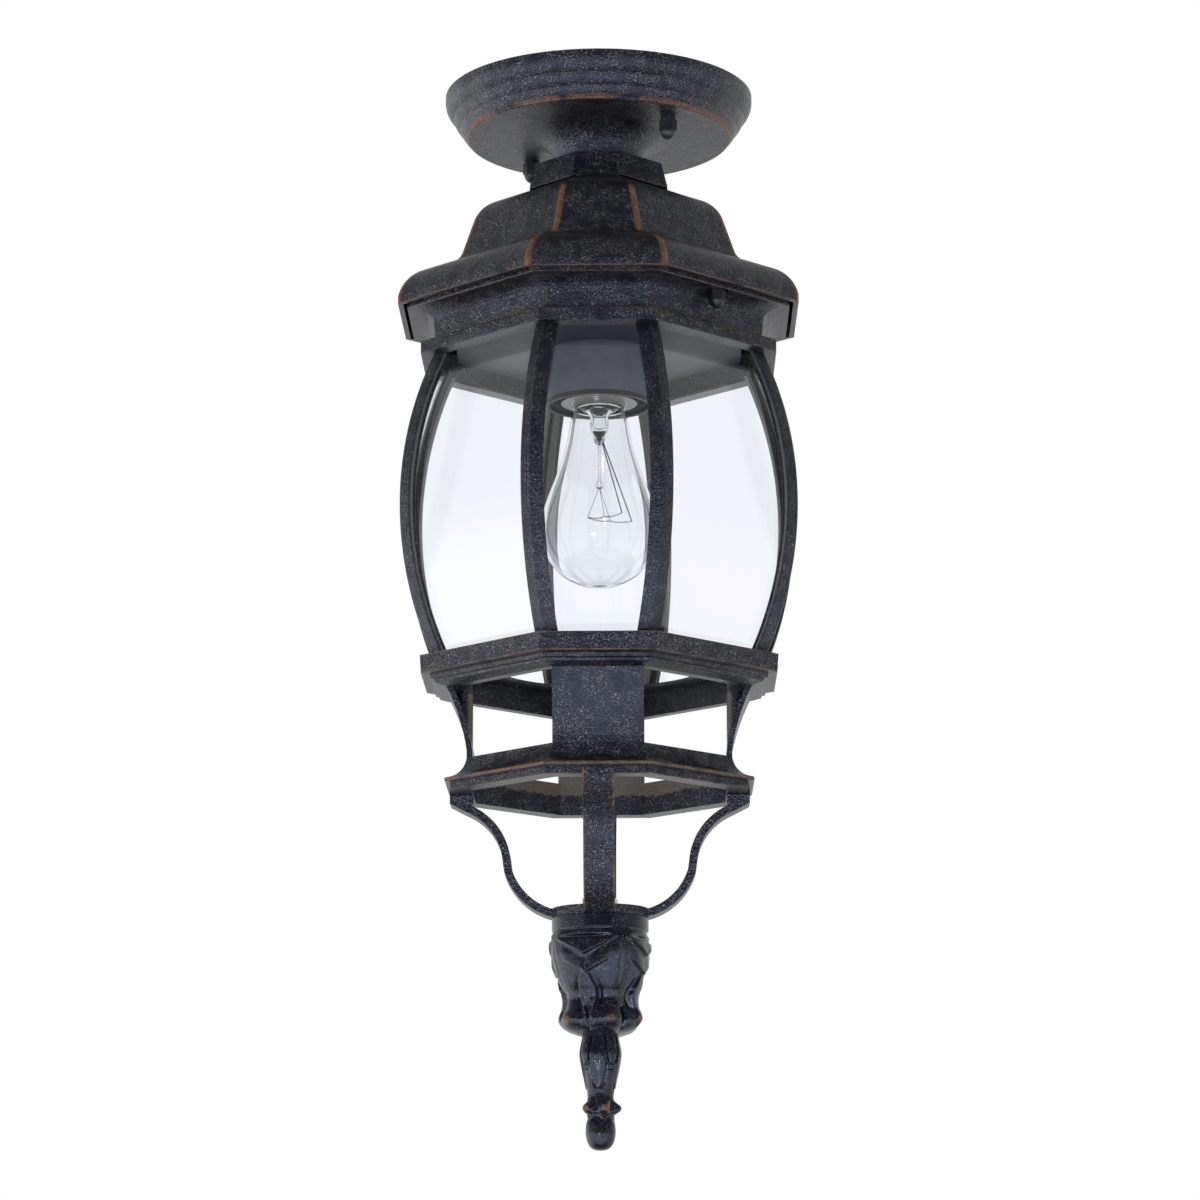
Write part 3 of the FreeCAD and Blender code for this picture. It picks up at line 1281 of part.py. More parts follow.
def bulb():
    """Clear lamp: glass, screw base, contact button, glass stem and filament."""
    wall = s.bulb_glass_wall
    centre = -s.bulb_bottom_level + s.bulb_radius
    shoulder = BULB_SHOULDER
    outer = (s.bulb_radius * sine(shoulder), centre + s.bulb_radius * cosine(shoulder))
    inside = s.bulb_radius - wall
    inner = (inside * sine(shoulder), centre + inside * cosine(shoulder))
    foot = -s.bulb_base_foot_level
    keep("bulb_glass", turned("bulb_glass_body", [
        (s.bulb_base_radius - wall, foot), (s.bulb_base_radius - wall * 2, foot),
        (s.bulb_neck_radius - wall, -s.bulb_neck_level - wall / 2),
        (s.bulb_neck_radius - wall, -s.bulb_neck_foot_level),
        inner + (s.bulb_neck_curve + wall, "left"), (0, centre - inside, inside, "right"),
        (0, -s.bulb_bottom_level), outer + (s.bulb_radius, "left"),
        (s.bulb_neck_radius, -s.bulb_neck_foot_level, s.bulb_neck_curve, "right"),
        (s.bulb_neck_radius, -s.bulb_neck_level)]))
    top = -s.bulb_base_top_level
    base = s.bulb_base_radius
    shell = s.bulb_base_wall
    flare = s.bulb_tip_radius + s.bulb_tip_flare
    keep("bulb_base", turned("bulb_base_body", [
        (flare, top), (base, top - s.bulb_base_chamfer), (base, foot), (base - shell, foot),
        (base - shell, top - s.bulb_base_chamfer - shell), (flare, top - shell)]))
    keep("bulb_contact", turned("bulb_contact_body", [
        (0, -s.bulb_tip_level), (s.bulb_tip_radius, -s.bulb_tip_level), (flare, top),
        (flare, top - shell), (0, top - shell)]))
    stem_foot = -s.stem_foot_level
    rod_foot = stem_foot - s.stem_rod_length
    keep("bulb_stem", turned("bulb_stem_body", [
        (0, foot), (base - wall * 2, foot), (base - wall * 2, foot - wall),
        (s.stem_radius, stem_foot + s.stem_press_height), (s.stem_radius, stem_foot + s.stem_foot_height),
        (s.stem_rod_radius, stem_foot), (s.stem_rod_radius, rod_foot), (0, rod_foot)]))
    filament(stem_foot)


def wire(name, start, end, radius):
    """A straight wire between two points."""
    run = [as_size(end[axis]) - start[axis] for axis in range(3)]
    length = root(run[0] * run[0] + run[1] * run[1] + run[2] * run[2])
    rod = doc.addObject("Part::Cylinder", name)
    bind(rod, "Radius", radius)
    bind(rod, "Height", length)
    rod.Placement.Rotation = FreeCAD.Rotation(Vector(0, 0, 1), Vector(*[part.number for part in run]))
    for axis, letter in enumerate("xyz"):
        rod.setExpression(f"Placement.Base.{letter}", as_size(start[axis]).formula)
    return rod


def filament(stem_foot):
    """Two lead wires out of the stem, four supports on its rod and the coil between them."""
    level = -s.filament_level
    span = s.filament_half_span
    thin = s.support_radius
    bead = stem_foot - s.stem_rod_length + s.support_sink
    parts = []
    for index, side in enumerate((-1, 1)):
        parts.append(wire(f"filament_lead_{index}",
                          (s.filament_lead_spread * side, 0, stem_foot + s.filament_lead_sink),
                          (span * side, 0, level), thin))
        for twist in (-1, 1):
            parts.append(wire(f"filament_support_{index}_{twist + 1}",
                              (s.support_spread * side, s.support_spread * twist * 0.9, bead),
                              (span * side * 0.4, s.support_radius * twist / 2, level), thin))
    parts.append(wire("filament_coil", (-span, 0, level), (span, 0, level), s.filament_radius))
    keep("filament", cut("filament_body", fuse("filament_wires", parts), [nodes["bulb_stem"]]))


mounting_bars()
canopy()
canopy_fixings()
centre_tube()
roof()
cage_fixings()
top_frame()
posts()
panes()
bottom_ring()
bottom_plate()
crown()
crown_screws()
basket()
finial()
lamp_holder()
bulb()

doc.recompute()
faults = [item.Label for item in doc.Objects if "Invalid" in item.State or "Error" in item.State]
if faults:
    raise RuntimeError(f"failed objects: {faults}")
for name, item in nodes.items():
    shape = item.Shape
    if shape.isNull() or not shape.isValid() or not shape.Solids:
        raise RuntimeError(f"{name} has no valid solid")
os.makedirs("parts", exist_ok=True)
for name, item in nodes.items():
    item.Shape.exportStep(f"parts/{name}.step")
    print(f"{name}: {len(item.Shape.Solids)} solid(s), {item.Shape.Volume:.1f} mm3")
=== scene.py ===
# %% [markdown]
# # A porch ceiling lantern, dressed in Blender
#
# The lantern hangs from the ceiling at height 0: a round canopy, an octagonal ogee roof, a bowed
# glass cage round a clear lamp, a crown with four legs and a leaf finial. Its rigid pieces come
# in as a fixed model. This lesson gives each of them its finish and makes the few pieces whose
# carving or thin glass asks for finer meshes than that model has.

# %% Load the rigid pieces
import math

import bmesh
import bpy
from mathutils import Matrix, Vector


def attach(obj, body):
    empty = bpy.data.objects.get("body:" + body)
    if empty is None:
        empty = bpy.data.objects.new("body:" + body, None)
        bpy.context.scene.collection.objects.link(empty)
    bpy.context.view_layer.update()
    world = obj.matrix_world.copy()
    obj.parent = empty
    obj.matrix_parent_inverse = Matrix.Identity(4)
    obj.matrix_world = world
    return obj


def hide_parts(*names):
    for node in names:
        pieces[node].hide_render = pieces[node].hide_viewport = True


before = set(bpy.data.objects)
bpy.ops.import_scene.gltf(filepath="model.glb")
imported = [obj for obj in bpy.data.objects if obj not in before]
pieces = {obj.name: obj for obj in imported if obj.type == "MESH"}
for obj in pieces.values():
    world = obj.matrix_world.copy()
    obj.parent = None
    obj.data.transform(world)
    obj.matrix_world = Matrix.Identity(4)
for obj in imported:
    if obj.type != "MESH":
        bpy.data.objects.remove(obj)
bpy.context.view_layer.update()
MM = 0.001

# %% [markdown]
# ## Camera
#
# The lantern was seen from a little below, with a long lens. The place, the pitch and the focal
# length below put the octagon's corners where that view shows them. The lens has no shift and
# no depth of field, so other views can move the same camera.

# %% Camera
CAMERA_PLACE = (0.02418, -1.97993, -0.67279)
CAMERA_HEADING = 0.694
CAMERA_PITCH = 11.603
CAMERA_ROLL = -0.111
FOCAL_LENGTH = 119.4
SENSOR_WIDTH = 36
NEAR_LIMIT = 0.01

lens = bpy.data.cameras.new("camera")
lens.lens = FOCAL_LENGTH
lens.sensor_width = SENSOR_WIDTH
lens.clip_start = NEAR_LIMIT
camera = bpy.data.objects.new("camera", lens)
bpy.context.scene.collection.objects.link(camera)
turn = Matrix.Rotation(math.radians(CAMERA_HEADING), 4, "Z")
tilt = Matrix.Rotation(math.radians(90 + CAMERA_PITCH), 4, "X")
roll = Matrix.Rotation(math.radians(CAMERA_ROLL), 4, "Z")
camera.matrix_world = Matrix.Translation(CAMERA_PLACE) @ turn @ tilt @ roll
bpy.context.scene.camera = camera
bpy.context.scene.view_settings.view_transform = "Standard"
print("camera", [round(value, 3) for value in camera.location])

# %% [markdown]
# ## Shader arithmetic
#
# A worn finish is mostly arithmetic on noise: add two patterns, keep what is above a level,
# multiply by an edge. Written node by node that is long, so one small class wraps a socket and
# lets Python's own operators add the Math nodes. Every other node comes from `Finish.node`,
# which takes the node's type, its settings and the values or links of its sockets.


# %% Reading, Made and Finish
class Reading:
    """One output of a node that can be added, multiplied or compared like a number."""

    def __init__(self, finish, socket):
        self.finish = finish
        self.socket = socket

    def join(self, operation, first, second=0.0):
        """Result of one Math node."""
        made = self.finish.node("ShaderNodeMath", {"operation": operation}, {0: first, 1: second})
        return made[0]

    def __add__(self, other):
        return self.join("ADD", self, other)

    __radd__ = __add__

    def __sub__(self, other):
        return self.join("SUBTRACT", self, other)

    def __rsub__(self, other):
        return self.join("SUBTRACT", other, self)

    def __neg__(self):
        return self.join("SUBTRACT", 0.0, self)

    def __mul__(self, other):
        return self.join("MULTIPLY", self, other)

    def __truediv__(self, other):
        return self.join("DIVIDE", self, other)

    def __pow__(self, other):
        return self.join("POWER", self, other)

    def __abs__(self):
        return self.join("ABSOLUTE", self)

    def larger(self, other):
        return self.join("MAXIMUM", self, other)

    def smaller(self, other):
        return self.join("MINIMUM", self, other)

    def rise(self, low, high):
        """0 below low, 1 above high, and a soft step between them."""
        return self.finish.node("ShaderNodeMapRange", {"interpolation_type": "SMOOTHSTEP"},
                                {"Value": self, "From Min": low, "From Max": high})["Result"]


class Made:
    """A node that was added: its outputs are read by name or number."""

    def __init__(self, finish, node):
        self.finish = finish
        self.node = node

    def __getitem__(self, name):
        return Reading(self.finish, self.node.outputs[name])


class Finish:
    """A material whose nodes are all added by one method."""

    def __init__(self, name):
        self.material = bpy.data.materials.new(name)
        self.material.use_nodes = True
        self.tree = self.material.node_tree
        self.tree.nodes.clear()
        self.place = self.node("ShaderNodeTexCoord")["Object"]
        split = self.node("ShaderNodeSeparateXYZ", {}, {0: self.place})
        self.x, self.y, self.z = split["X"], split["Y"], split["Z"]

    def node(self, kind, settings=None, sockets=None):
        """Add a node, set its own properties, then give each socket its value or link."""
        node = self.tree.nodes.new(kind)
        for name, value in (settings or {}).items():
            setattr(node, name, value)
        for name, value in (sockets or {}).items():
            if isinstance(value, Reading):
                self.tree.links.new(value.socket, node.inputs[name])
            else:
                node.inputs[name].default_value = value
        return Made(self, node)

    def noise(self, scale, detail=2.0, roughness=0.5):
        """Cloudy pattern between 0 and 1; scale counts its clouds per metre."""
        sockets = {"Vector": self.place, "Scale": scale, "Detail": detail, "Roughness": roughness}
        return self.node("ShaderNodeTexNoise", {}, sockets)["Fac"]

    def blend(self, share, first, second):
        """Colour that goes from first to second as share goes from 0 to 1."""
        def colour(value):
            return value if isinstance(value, Reading) else (*value, 1)
        return self.node("ShaderNodeMix", {"data_type": "RGBA"},
                         {0: share, 6: colour(first), 7: colour(second)})[2]

    def bump(self, height, distance, strength):
        """Normal of a surface that stands out by distance where height is 1."""
        return self.node("ShaderNodeBump", {}, {"Height": height, "Distance": distance,
                                                "Strength": strength})["Normal"]

    def surface(self, **sockets):
        """Close the material with one Principled shader; underscores stand for spaces."""
        named = {name.replace("_", " "): value for name, value in sockets.items()}
        shader = self.node("ShaderNodeBsdfPrincipled", {}, named)
        self.node("ShaderNodeOutputMaterial", {}, {"Surface": shader[0]})
        return self.material


dressed = set()


def dress(material, *names):
    """Give the named rigid pieces one material, in place of their plain one."""
    for name in names:
        slots = pieces[name].data.materials
        slots.clear()
        slots.append(material)
        dressed.add(name)


print("still to dress", len(pieces) - len(dressed))

# %% [markdown]
# ## The coat
#
# Canopy, roof, cage and finial share one finish: a nearly black coat with a blue cast, hammered
# like cast iron. Fine pale specks and short threads lie over it, gathered in drifts. Where hands
# and brushes have been it is rubbed back to copper brown. The faces that look inward are khaki,
# and on the posts a lighter khaki adds painted light. The scales below count the clouds of each
# noise in a metre, from the broad change of tone down to single specks of under half a
# millimetre.

# %% Colours and flecks of the coat
COAT = (0.0036, 0.0042, 0.0078)
COAT_PALE = (0.0070, 0.0080, 0.0130)
SHEEN = (0.80, 0.86, 1.0, 1.0)
FLECK = (0.46, 0.41, 0.38)
COPPER = (0.210, 0.108, 0.056)
COPPER_DARK = (0.105, 0.052, 0.029)
KHAKI = (0.120, 0.098, 0.068)
# Lighter khaki for the posts' inner faces: khaki brightened with painted light, for the pale
# strip that shows through the glass beside the panes' edges.
POST_KHAKI_PAINTED_LIGHT = (0.26, 0.245, 0.205)
BROAD_SCALE = 45
DRIFT_SCALE = 140
FRAY_SCALE = 420
THREAD_SCALE = 800
HAMMER_SCALE = 820
BREAK_SCALE = 1100
GRAIN_SCALE = 1500
SPECK_SCALE = 2400


def fleck_share(finish, amount):
    """Specks and broken threads: a thread runs where a noise passes through its middle value."""
    specks = finish.noise(SPECK_SCALE, 1).rise(0.655, 0.70)
    threads = 1 - abs(finish.noise(THREAD_SCALE, 1) - 0.5).rise(0.008, 0.028)
    broken = threads * finish.noise(BREAK_SCALE, 1).rise(0.57, 0.62)
    drifts = finish.noise(DRIFT_SCALE, 2).rise(0.34, 0.56)
    return specks.larger(broken) * drifts * amount


print(f"clouds of {1000 / BROAD_SCALE:.0f} mm down to specks of {1000 / SPECK_SCALE:.2f} mm")

# %% [markdown]
# ## Where the coat is rubbed
#
# The rubbed edges could be found by the renderer, but they are known exactly. The castings are
# octagons, so a corner lies where a narrow and a wide face are equally far out. Every rim has
# its own height, the legs have one width, and the tips of the finial are what stands out
# furthest. Each formula gives a clean band, and noise frays it. A rim is rubbed only where it
# looks outward, or the whole flat underside at that height would turn brown.

# %% Rubbed places
FACES_OUT = (0.2, 0.35)
SPAN_FADE = 2.0 * MM
CORNER_FRAY = 1.6
RIM_FRAY = 1.2
RIM_PATCHES = 70
LEG_FRAY = 1.0 * MM
LEG_PATCHES = 60
LEG_LINE = (1.0 * MM, 0.4 * MM)
LEG_STRENGTH = 0.9
HUB_REACH = (26.0 * MM, 30.0 * MM)
TIP_FRAY = 1.2 * MM
TIP_FADE = 0.9 * MM
TIP_PATCHES = 95


def radial(finish):
    """Distance from the axis, and how far the face looks outward and sideways from it."""
    normal = finish.node("ShaderNodeNewGeometry")["Normal"]
    facing = finish.node("ShaderNodeSeparateXYZ", {}, {0: normal})
    distance = (finish.x ** 2 + finish.y ** 2) ** 0.5
    outward = (facing["X"] * finish.x + facing["Y"] * finish.y) / distance
    sideways = abs(facing["Y"] * finish.x - facing["X"] * finish.y) / distance
    return distance, outward, sideways


def corner_gap(finish, inset):
    """Distance across the surface from the nearest corner of an octagon with that inset."""
    across = abs(finish.x)
    along = abs(finish.y)
    narrow = across.larger(along)
    wide = (across + along) * math.sqrt(0.5) + inset
    return abs(narrow - wide) * math.sqrt(2)


def rubbed_corners(finish, fray, inset, width, spans):
    """Bands of one width along the corners, inside some (low, high) spans of height."""
    fringe = corner_gap(finish, inset) + (fray - 0.5) * width * CORNER_FRAY
    bands = 1 - fringe.rise(width * 0.55, width)
    reach = fray * 0
    for low, high in spans:
        below = 1 - finish.z.rise(high, high + SPAN_FADE)
        reach = reach.larger(finish.z.rise(low - SPAN_FADE, low) * below)
    return bands * reach


def rubbed_rim(finish, fray, outward, height, width, strength):
    """Line of one half width round a rim at one height."""
    reach = abs(finish.z - height) + (fray - 0.5) * width * RIM_FRAY
    line = (1 - reach.rise(width * 0.5, width)) * outward.rise(*FACES_OUT)
    return line * finish.noise(RIM_PATCHES, 3).rise(0.30, 0.50) * strength


def rubbed_legs(finish, fray, distance, sideways, half_width):
    """Thin lines along both edges of legs that run out from the axis along X and Y."""
    beside = abs(finish.x).smaller(abs(finish.y)) + (fray - 0.5) * LEG_FRAY
    edge = beside.rise(*[half_width - inside for inside in LEG_LINE])
    kept = edge * finish.noise(LEG_PATCHES, 2).rise(0.44, 0.54)
    return kept * (1 - sideways.rise(0.5, 0.8)) * distance.rise(*HUB_REACH) * LEG_STRENGTH


def rubbed_tips(finish, fray, distance, height, reach, radius):
    """Spots on what stands out further than a radius, near one height."""
    level = 1 - abs(finish.z - height).rise(reach * 0.6, reach)
    proud = (distance + (fray - 0.5) * TIP_FRAY).rise(radius, radius + TIP_FADE)
    return level * proud * finish.noise(TIP_PATCHES, 2).rise(0.42, 0.50)


print("rubbed places", [kind.__name__ for kind in (rubbed_corners, rubbed_rim, rubbed_legs,
                                                   rubbed_tips)])

# %% [markdown]
# ## The coated castings
#
# One function puts the coat together: base tone, flecks, copper where it is rubbed, khaki on
# the inner faces, and the hammered relief. Its arguments say what differs from one casting to
# the next.

# %% Coated castings
BORDER_FRAY = 6.0 * MM
BORDER_DRIFT = 4.0 * MM
BORDER_FADE = 0.6 * MM


def coated(name, corners=None, rims=(), tips=(), leg_edge=None, inner=None, inner_tone=KHAKI,
           fleck=1.0, rough=0.30, depth=0.7 * MM):
    """Hammered dark coat; inner faces take inner_tone above the height inner."""
    finish = Finish(name)
    broad = finish.noise(BROAD_SCALE, 3)
    fray = finish.noise(FRAY_SCALE, 4, 0.65)
    grain = finish.noise(GRAIN_SCALE, 2, 0.6)
    distance, outward, sideways = radial(finish)

    flecks = fleck_share(finish, fleck)
    tone = finish.blend(broad.rise(0.35, 0.7), COAT, COAT_PALE)
    tone = finish.blend(flecks * 0.8, tone, FLECK)

    wear = rubbed_corners(finish, fray, *corners) if corners else fray * 0
    for edge in rims:
        wear = wear.larger(rubbed_rim(finish, fray, outward, *edge))
    if leg_edge is not None:
        wear = wear.larger(rubbed_legs(finish, fray, distance, sideways, leg_edge))
    for tip in tips:
        wear = wear.larger(rubbed_tips(finish, fray, distance, *tip))
    rubbed = finish.blend(fray.rise(0.4, 0.65), COPPER_DARK, COPPER)
    tone = finish.blend(wear, tone, rubbed)

    if inner is not None:
        # Inner faces above the height inner take inner_tone: khaki, and on the posts a lighter
        # khaki that is partly painted light.
        border = finish.z + (fray - 0.5) * BORDER_FRAY + (broad - 0.5) * BORDER_DRIFT
        above = border.rise(inner - BORDER_FADE, inner + BORDER_FADE)
        inner_faces = (-outward).rise(0.3, 0.6) * above
        tone = finish.blend(inner_faces, tone, inner_tone)

    hammered = finish.noise(HAMMER_SCALE, 2, 0.6)
    return finish.surface(
        Base_Color=tone, Roughness=rough + (grain - 0.5) * 0.20 + wear * 0.16,
        Metallic=wear * 0.2 + flecks * 0.3, Normal=finish.bump(hammered, depth, 0.9),
        Specular_IOR_Level=0.5, Specular_Tint=SHEEN)


def rim(height, half_width, strength):
    """A rim to be rubbed, from millimetres."""
    return height * MM, half_width * MM, strength


CORNER_INSET = 5.7 * MM
CORNER_WIDTH = 2.3 * MM
DOME_CORNERS = (-92.0 * MM, -66.0 * MM)
SKIRT_CORNERS = (-118.5 * MM, -99.0 * MM)
LEG_HALF_WIDTH = 7.7 * MM
POSTS_KHAKI_ABOVE = -400 * MM
CROWN_KHAKI_ABOVE = -357 * MM

dress(coated("coat_canopy", rims=(rim(-21.3, 1.5, 0.75),)), "canopy")
dress(coated("coat_roof", (CORNER_INSET, CORNER_WIDTH, (DOME_CORNERS, SKIRT_CORNERS)),
             (rim(-119.0, 0.5, 0.6),)), "roof")
dress(coated("coat_top_frame", rims=(rim(-121.0, 0.5, 0.5), rim(-137.4, 0.6, 0.9))), "top_frame")
# The posts' inner faces take the lighter khaki, which is partly painted light.
dress(coated("coat_posts", fleck=0.7, inner=POSTS_KHAKI_ABOVE, inner_tone=POST_KHAKI_PAINTED_LIGHT),
      *[f"post_{number}" for number in range(1, 9)])
dress(coated("coat_bottom_ring", rims=(rim(-308.7, 0.6, 0.7), rim(-299.9, 0.4, 0.5))),
      "bottom_ring")
dress(coated("coat_plate"), "bottom_plate")
dress(coated("coat_crown", rims=(rim(-361.9, 1.0, 1.0), rim(-367.0, 0.5, 0.6)),
             inner=CROWN_KHAKI_ABOVE), "crown")
dress(coated("coat_basket", leg_edge=LEG_HALF_WIDTH), "basket")
print("still to dress", len(pieces) - len(dressed))

# %% [markdown]
# ## Small metal, lamp holder and wiring
#
# The nuts are satin black and the hidden bars and studs are zinc plated. The cup round the lamp
# holder is slate grey with a dark bead along its mouth, and the socket inside it is dark grey.
# Each gets its own fine grain, since even a plated screw shows drawn lines and small
# stains at this distance.

# %% Small metal
GRAIN_DEPTH = 0.12 * MM
CLOUD_SHARE = 0.12
BEAD_BLACK = (0.012, 0.014, 0.018)
BEAD_TOP = -162.6 * MM
BEAD_FADE = 0.3 * MM


def plain(name, first, second, roughness, metallic=0.0, scale=900, bead=None):
    """Two close tones with a fine grain; below the height bead it is nearly black."""
    finish = Finish(name)
    cloud = finish.noise(scale * CLOUD_SHARE, 3)
    grain = finish.noise(scale, 3, 0.6)
    tone = finish.blend((cloud * 0.6 + grain * 0.4).rise(0.35, 0.65), first, second)
    if bead is not None:
        tone = finish.blend(finish.z.rise(bead - BEAD_FADE, bead), BEAD_BLACK, tone)
    return finish.surface(Base_Color=tone, Roughness=roughness + (grain - 0.5) * 0.16,
                          Metallic=metallic, Normal=finish.bump(grain, GRAIN_DEPTH, 0.5),
                          Specular_IOR_Level=0.5)


NUTS_AND_WASHERS = [f"{group}_{kind}_{side}" for group in ("canopy", "cage")
                    for kind in ("nut", "washer") for side in ("front", "rear")]
ZINC_PLATED = ("box_bar", "stud_bar", "canopy_studs", "stud_locknuts", "centre_tube", "tube_nuts",
               "canopy_tube_washer", "cage_studs", "crown_screws", "finial_rod", "finial_nut")
dress(plain("nut_black", (0.012, 0.012, 0.014), (0.035, 0.034, 0.034), 0.34, 0.3),
      *NUTS_AND_WASHERS)
dress(plain("zinc", (0.52, 0.49, 0.42), (0.66, 0.64, 0.58), 0.34, 1.0, 1400), *ZINC_PLATED)
dress(plain("brass", (0.55, 0.38, 0.16), (0.70, 0.52, 0.26), 0.32, 1.0, 1400),
      "bar_eyelet", "centre_contact", "bulb_contact")
dress(plain("ground_green", (0.02, 0.20, 0.06), (0.04, 0.28, 0.09), 0.36, 0.4), "ground_screw")
dress(plain("baffle_coat", (0.048, 0.056, 0.070), (0.072, 0.082, 0.098), 0.45), "baffle")
dress(plain("slate", (0.140, 0.160, 0.196), (0.180, 0.202, 0.244), 0.40, bead=BEAD_TOP),
      "holder_cup")
dress(plain("porcelain", (0.045, 0.042, 0.040), (0.065, 0.060, 0.056), 0.16, 0.0, 300), "socket")
dress(plain("aluminium", (0.72, 0.71, 0.69), (0.82, 0.81, 0.79), 0.30, 1.0, 1600),
      "screw_shell", "bulb_base")
dress(plain("wire_black", (0.012, 0.012, 0.012), (0.02, 0.02, 0.02), 0.55), "lead_black")
dress(plain("wire_white", (0.72, 0.71, 0.68), (0.8, 0.79, 0.76), 0.55), "lead_white")
tungsten = plain("tungsten", (0.10, 0.095, 0.09), (0.2, 0.19, 0.18), 0.4, 0.9, 2000)
dress(tungsten, "filament")
print("still to dress", len(pieces) - len(dressed))

# %% [markdown]
# ## Glass
#
# Panes and lamp are clear. They could be made transparent with alpha, but glass is known by
# what it bends, so both are real solids with a refracting shader. A trace of iron in the sheet
# makes it faintly blue, and a very weak wave in the surface keeps reflections from being ruled.

# %% Glass
GLASS_IOR = 1.46
RIPPLE_STRENGTH = 0.4


def clear(name, colour, ripple_height, scale, gloss):
    """Clear glass with a faint tint and a weak ripple of that scale."""
    finish = Finish(name)
    ripple = finish.bump(finish.noise(scale, 1), ripple_height, RIPPLE_STRENGTH)
    return finish.surface(Base_Color=(*colour, 1), Roughness=0.0, IOR=GLASS_IOR,
                          Specular_IOR_Level=gloss, Transmission_Weight=1.0, Normal=ripple)


dress(clear("pane_clear", (0.957, 0.974, 0.997), 0.2 * MM, 9, 0.2),
      *[f"pane_{kind}_{number}" for kind in ("narrow", "wide") for number in range(1, 5)])
lamp_glass = clear("lamp_clear", (0.985, 0.99, 0.995), 0.3 * MM, 22, 0.35)
dress(lamp_glass, "bulb_glass", "bulb_stem")
print("left for carved pieces", sorted(set(pieces) - dressed))

# %% [markdown]
# ## Turned and carved pieces
#
# The finial was turned and then carved, and its leaves are part of the casting, not a texture:
# from the side they break the outline. So each piece is one fine surface whose radius depends on
# height and on the direction round the axis. The turned outline comes from a few radii joined by
# a smooth curve, and the carving is a small length added to it. Lengths are in millimetres here.


# %% Smooth outlines
def smooth_value(knots, where):
    """Smooth curve through (position, value) knots, without overshoot between equal values."""
    if where <= knots[0][0]:
        return knots[0][1]
    for index in range(len(knots) - 1):
        left, right = knots[index], knots[index + 1]
        if where <= right[0]:
            break
    else:
        return knots[-1][1]

    def rate(first):
        return ((knots[first + 1][1] - knots[first][1]) / (knots[first + 1][0] - knots[first][0]))

    def slope(middle):
        if middle <= 0 or middle >= len(knots) - 1:
            return 0.0
        before, after = rate(middle - 1), rate(middle)
        return 0.0 if before * after <= 0 else 2 * before * after / (before + after)

    width = right[0] - left[0]
    share = (where - left[0]) / width
    square, cube = share * share, share ** 3
    return ((2 * cube - 3 * square + 1) * left[1]
            + (cube - 2 * square + share) * width * slope(index)
            + (3 * square - 2 * cube) * right[1]
            + (cube - square) * width * slope(index + 1))


def wave(distance, width):
    """Soft bump of height 1 at distance 0 that is gone at one width."""
    share = min(abs(distance) / width, 1.0)
    return (1 - share * share) ** 2


def between(value):
    """The value, kept between 0 and 1."""
    return min(max(value, 0.0), 1.0)


def nearest_turn(angle, first, count):
    """Signed angle in degrees from the nearest of evenly spaced directions."""
    pitch = 360 / count
    return (math.degrees(angle) - first + pitch / 2) % pitch - pitch / 2


print("halfway up a smooth step", smooth_value(((0.0, 0.0), (1.0, 1.0)), 0.5))


# %% Turned surface
def ring_faces(first, second, around):
    """Faces between two neighbouring rows of corners; a row of one corner is a pole."""
    if len(first) == 1 and len(second) == 1:
        return []
    faces = []
    for step in range(around):
        ahead = (step + 1) % around
        if len(first) == 1:
            faces.append((first[0], second[step], second[ahead]))
        elif len(second) == 1:
            faces.append((first[step], second[0], first[ahead]))
        else:
            faces.append((first[step], second[step], second[ahead], first[ahead]))
    return faces


def turned(name, outline, around, material, radius_at=None):
    """Closed surface about the vertical axis from (radius, height) corners."""
    rows = []
    corners = []
    for radius, height in outline:
        if radius < 1e-6:
            rows.append([len(corners)])
            corners.append((0, 0, height * MM))
            continue
        rows.append(list(range(len(corners), len(corners) + around)))
        for step in range(around):
            angle = math.tau * step / around
            reach = radius if radius_at is None else radius_at(radius, height, angle)
            corners.append((reach * math.cos(angle) * MM, reach * math.sin(angle) * MM,
                            height * MM))
    pairs = list(zip(rows, rows[1:]))
    if len(rows[0]) > 1:
        pairs.append((rows[-1], rows[0]))
    faces = [face for first, second in pairs for face in ring_faces(first, second, around)]
    mesh = bpy.data.meshes.new(name)
    mesh.from_pydata(corners, [], faces)
    mesh.polygons.foreach_set("use_smooth", [True] * len(mesh.polygons))
    mesh.validate()
    builder = bmesh.new()
    builder.from_mesh(mesh)
    bmesh.ops.recalc_face_normals(builder, faces=builder.faces)
    builder.to_mesh(mesh)
    builder.free()
    mesh.materials.append(material)
    item = bpy.data.objects.new(name, mesh)
    bpy.context.scene.collection.objects.link(item)
    print(name, "faces", len(mesh.polygons))
    return item


# %% [markdown]
# ## Leaf cup
#
# Below a plain collar and a groove four broad leaves hang round the cup. Two folds lie across
# each leaf like a V, and a rib widens down its middle. The cup draws in to a waist, and below it
# the tips of the leaves curl out again in six lobes. Directions are counted in degrees round the
# axis, with -90 at the front, and `share` is 0 at the middle of a leaf and 1 at its side.

# %% Leaf cup
CUP_OUTLINE = ((-488.0, 9.6), (-487.0, 12.5), (-485.2, 16.8), (-482.6, 19.4), (-480.0, 20.2),
               (-477.0, 19.2), (-473.5, 17.6), (-470.0, 17.3), (-466.7, 18.1), (-463.6, 20.1),
               (-460.5, 21.6), (-457.5, 22.8), (-454.4, 23.6), (-451.4, 24.4), (-447.0, 25.2),
               (-442.0, 25.3), (-438.5, 24.9), (-436.0, 24.2), (-428.7, 24.2))
FRONT = -90
LEAVES = 4
LEAF_FRONT = FRONT - 19
COLLAR_FOOT = -435.6
CARVED_FROM = 9.5
GROOVE_LEVEL = -440.1
GROOVE_DEPTH = 2.2
GROOVE_END = 0.85
FOLDS = ((-448.4, 0.92), (-457.4, 0.70))
FOLD_HEIGHT = 1.6
FOLD_RISE = 9.6
FOLD_FOOT = 1.2
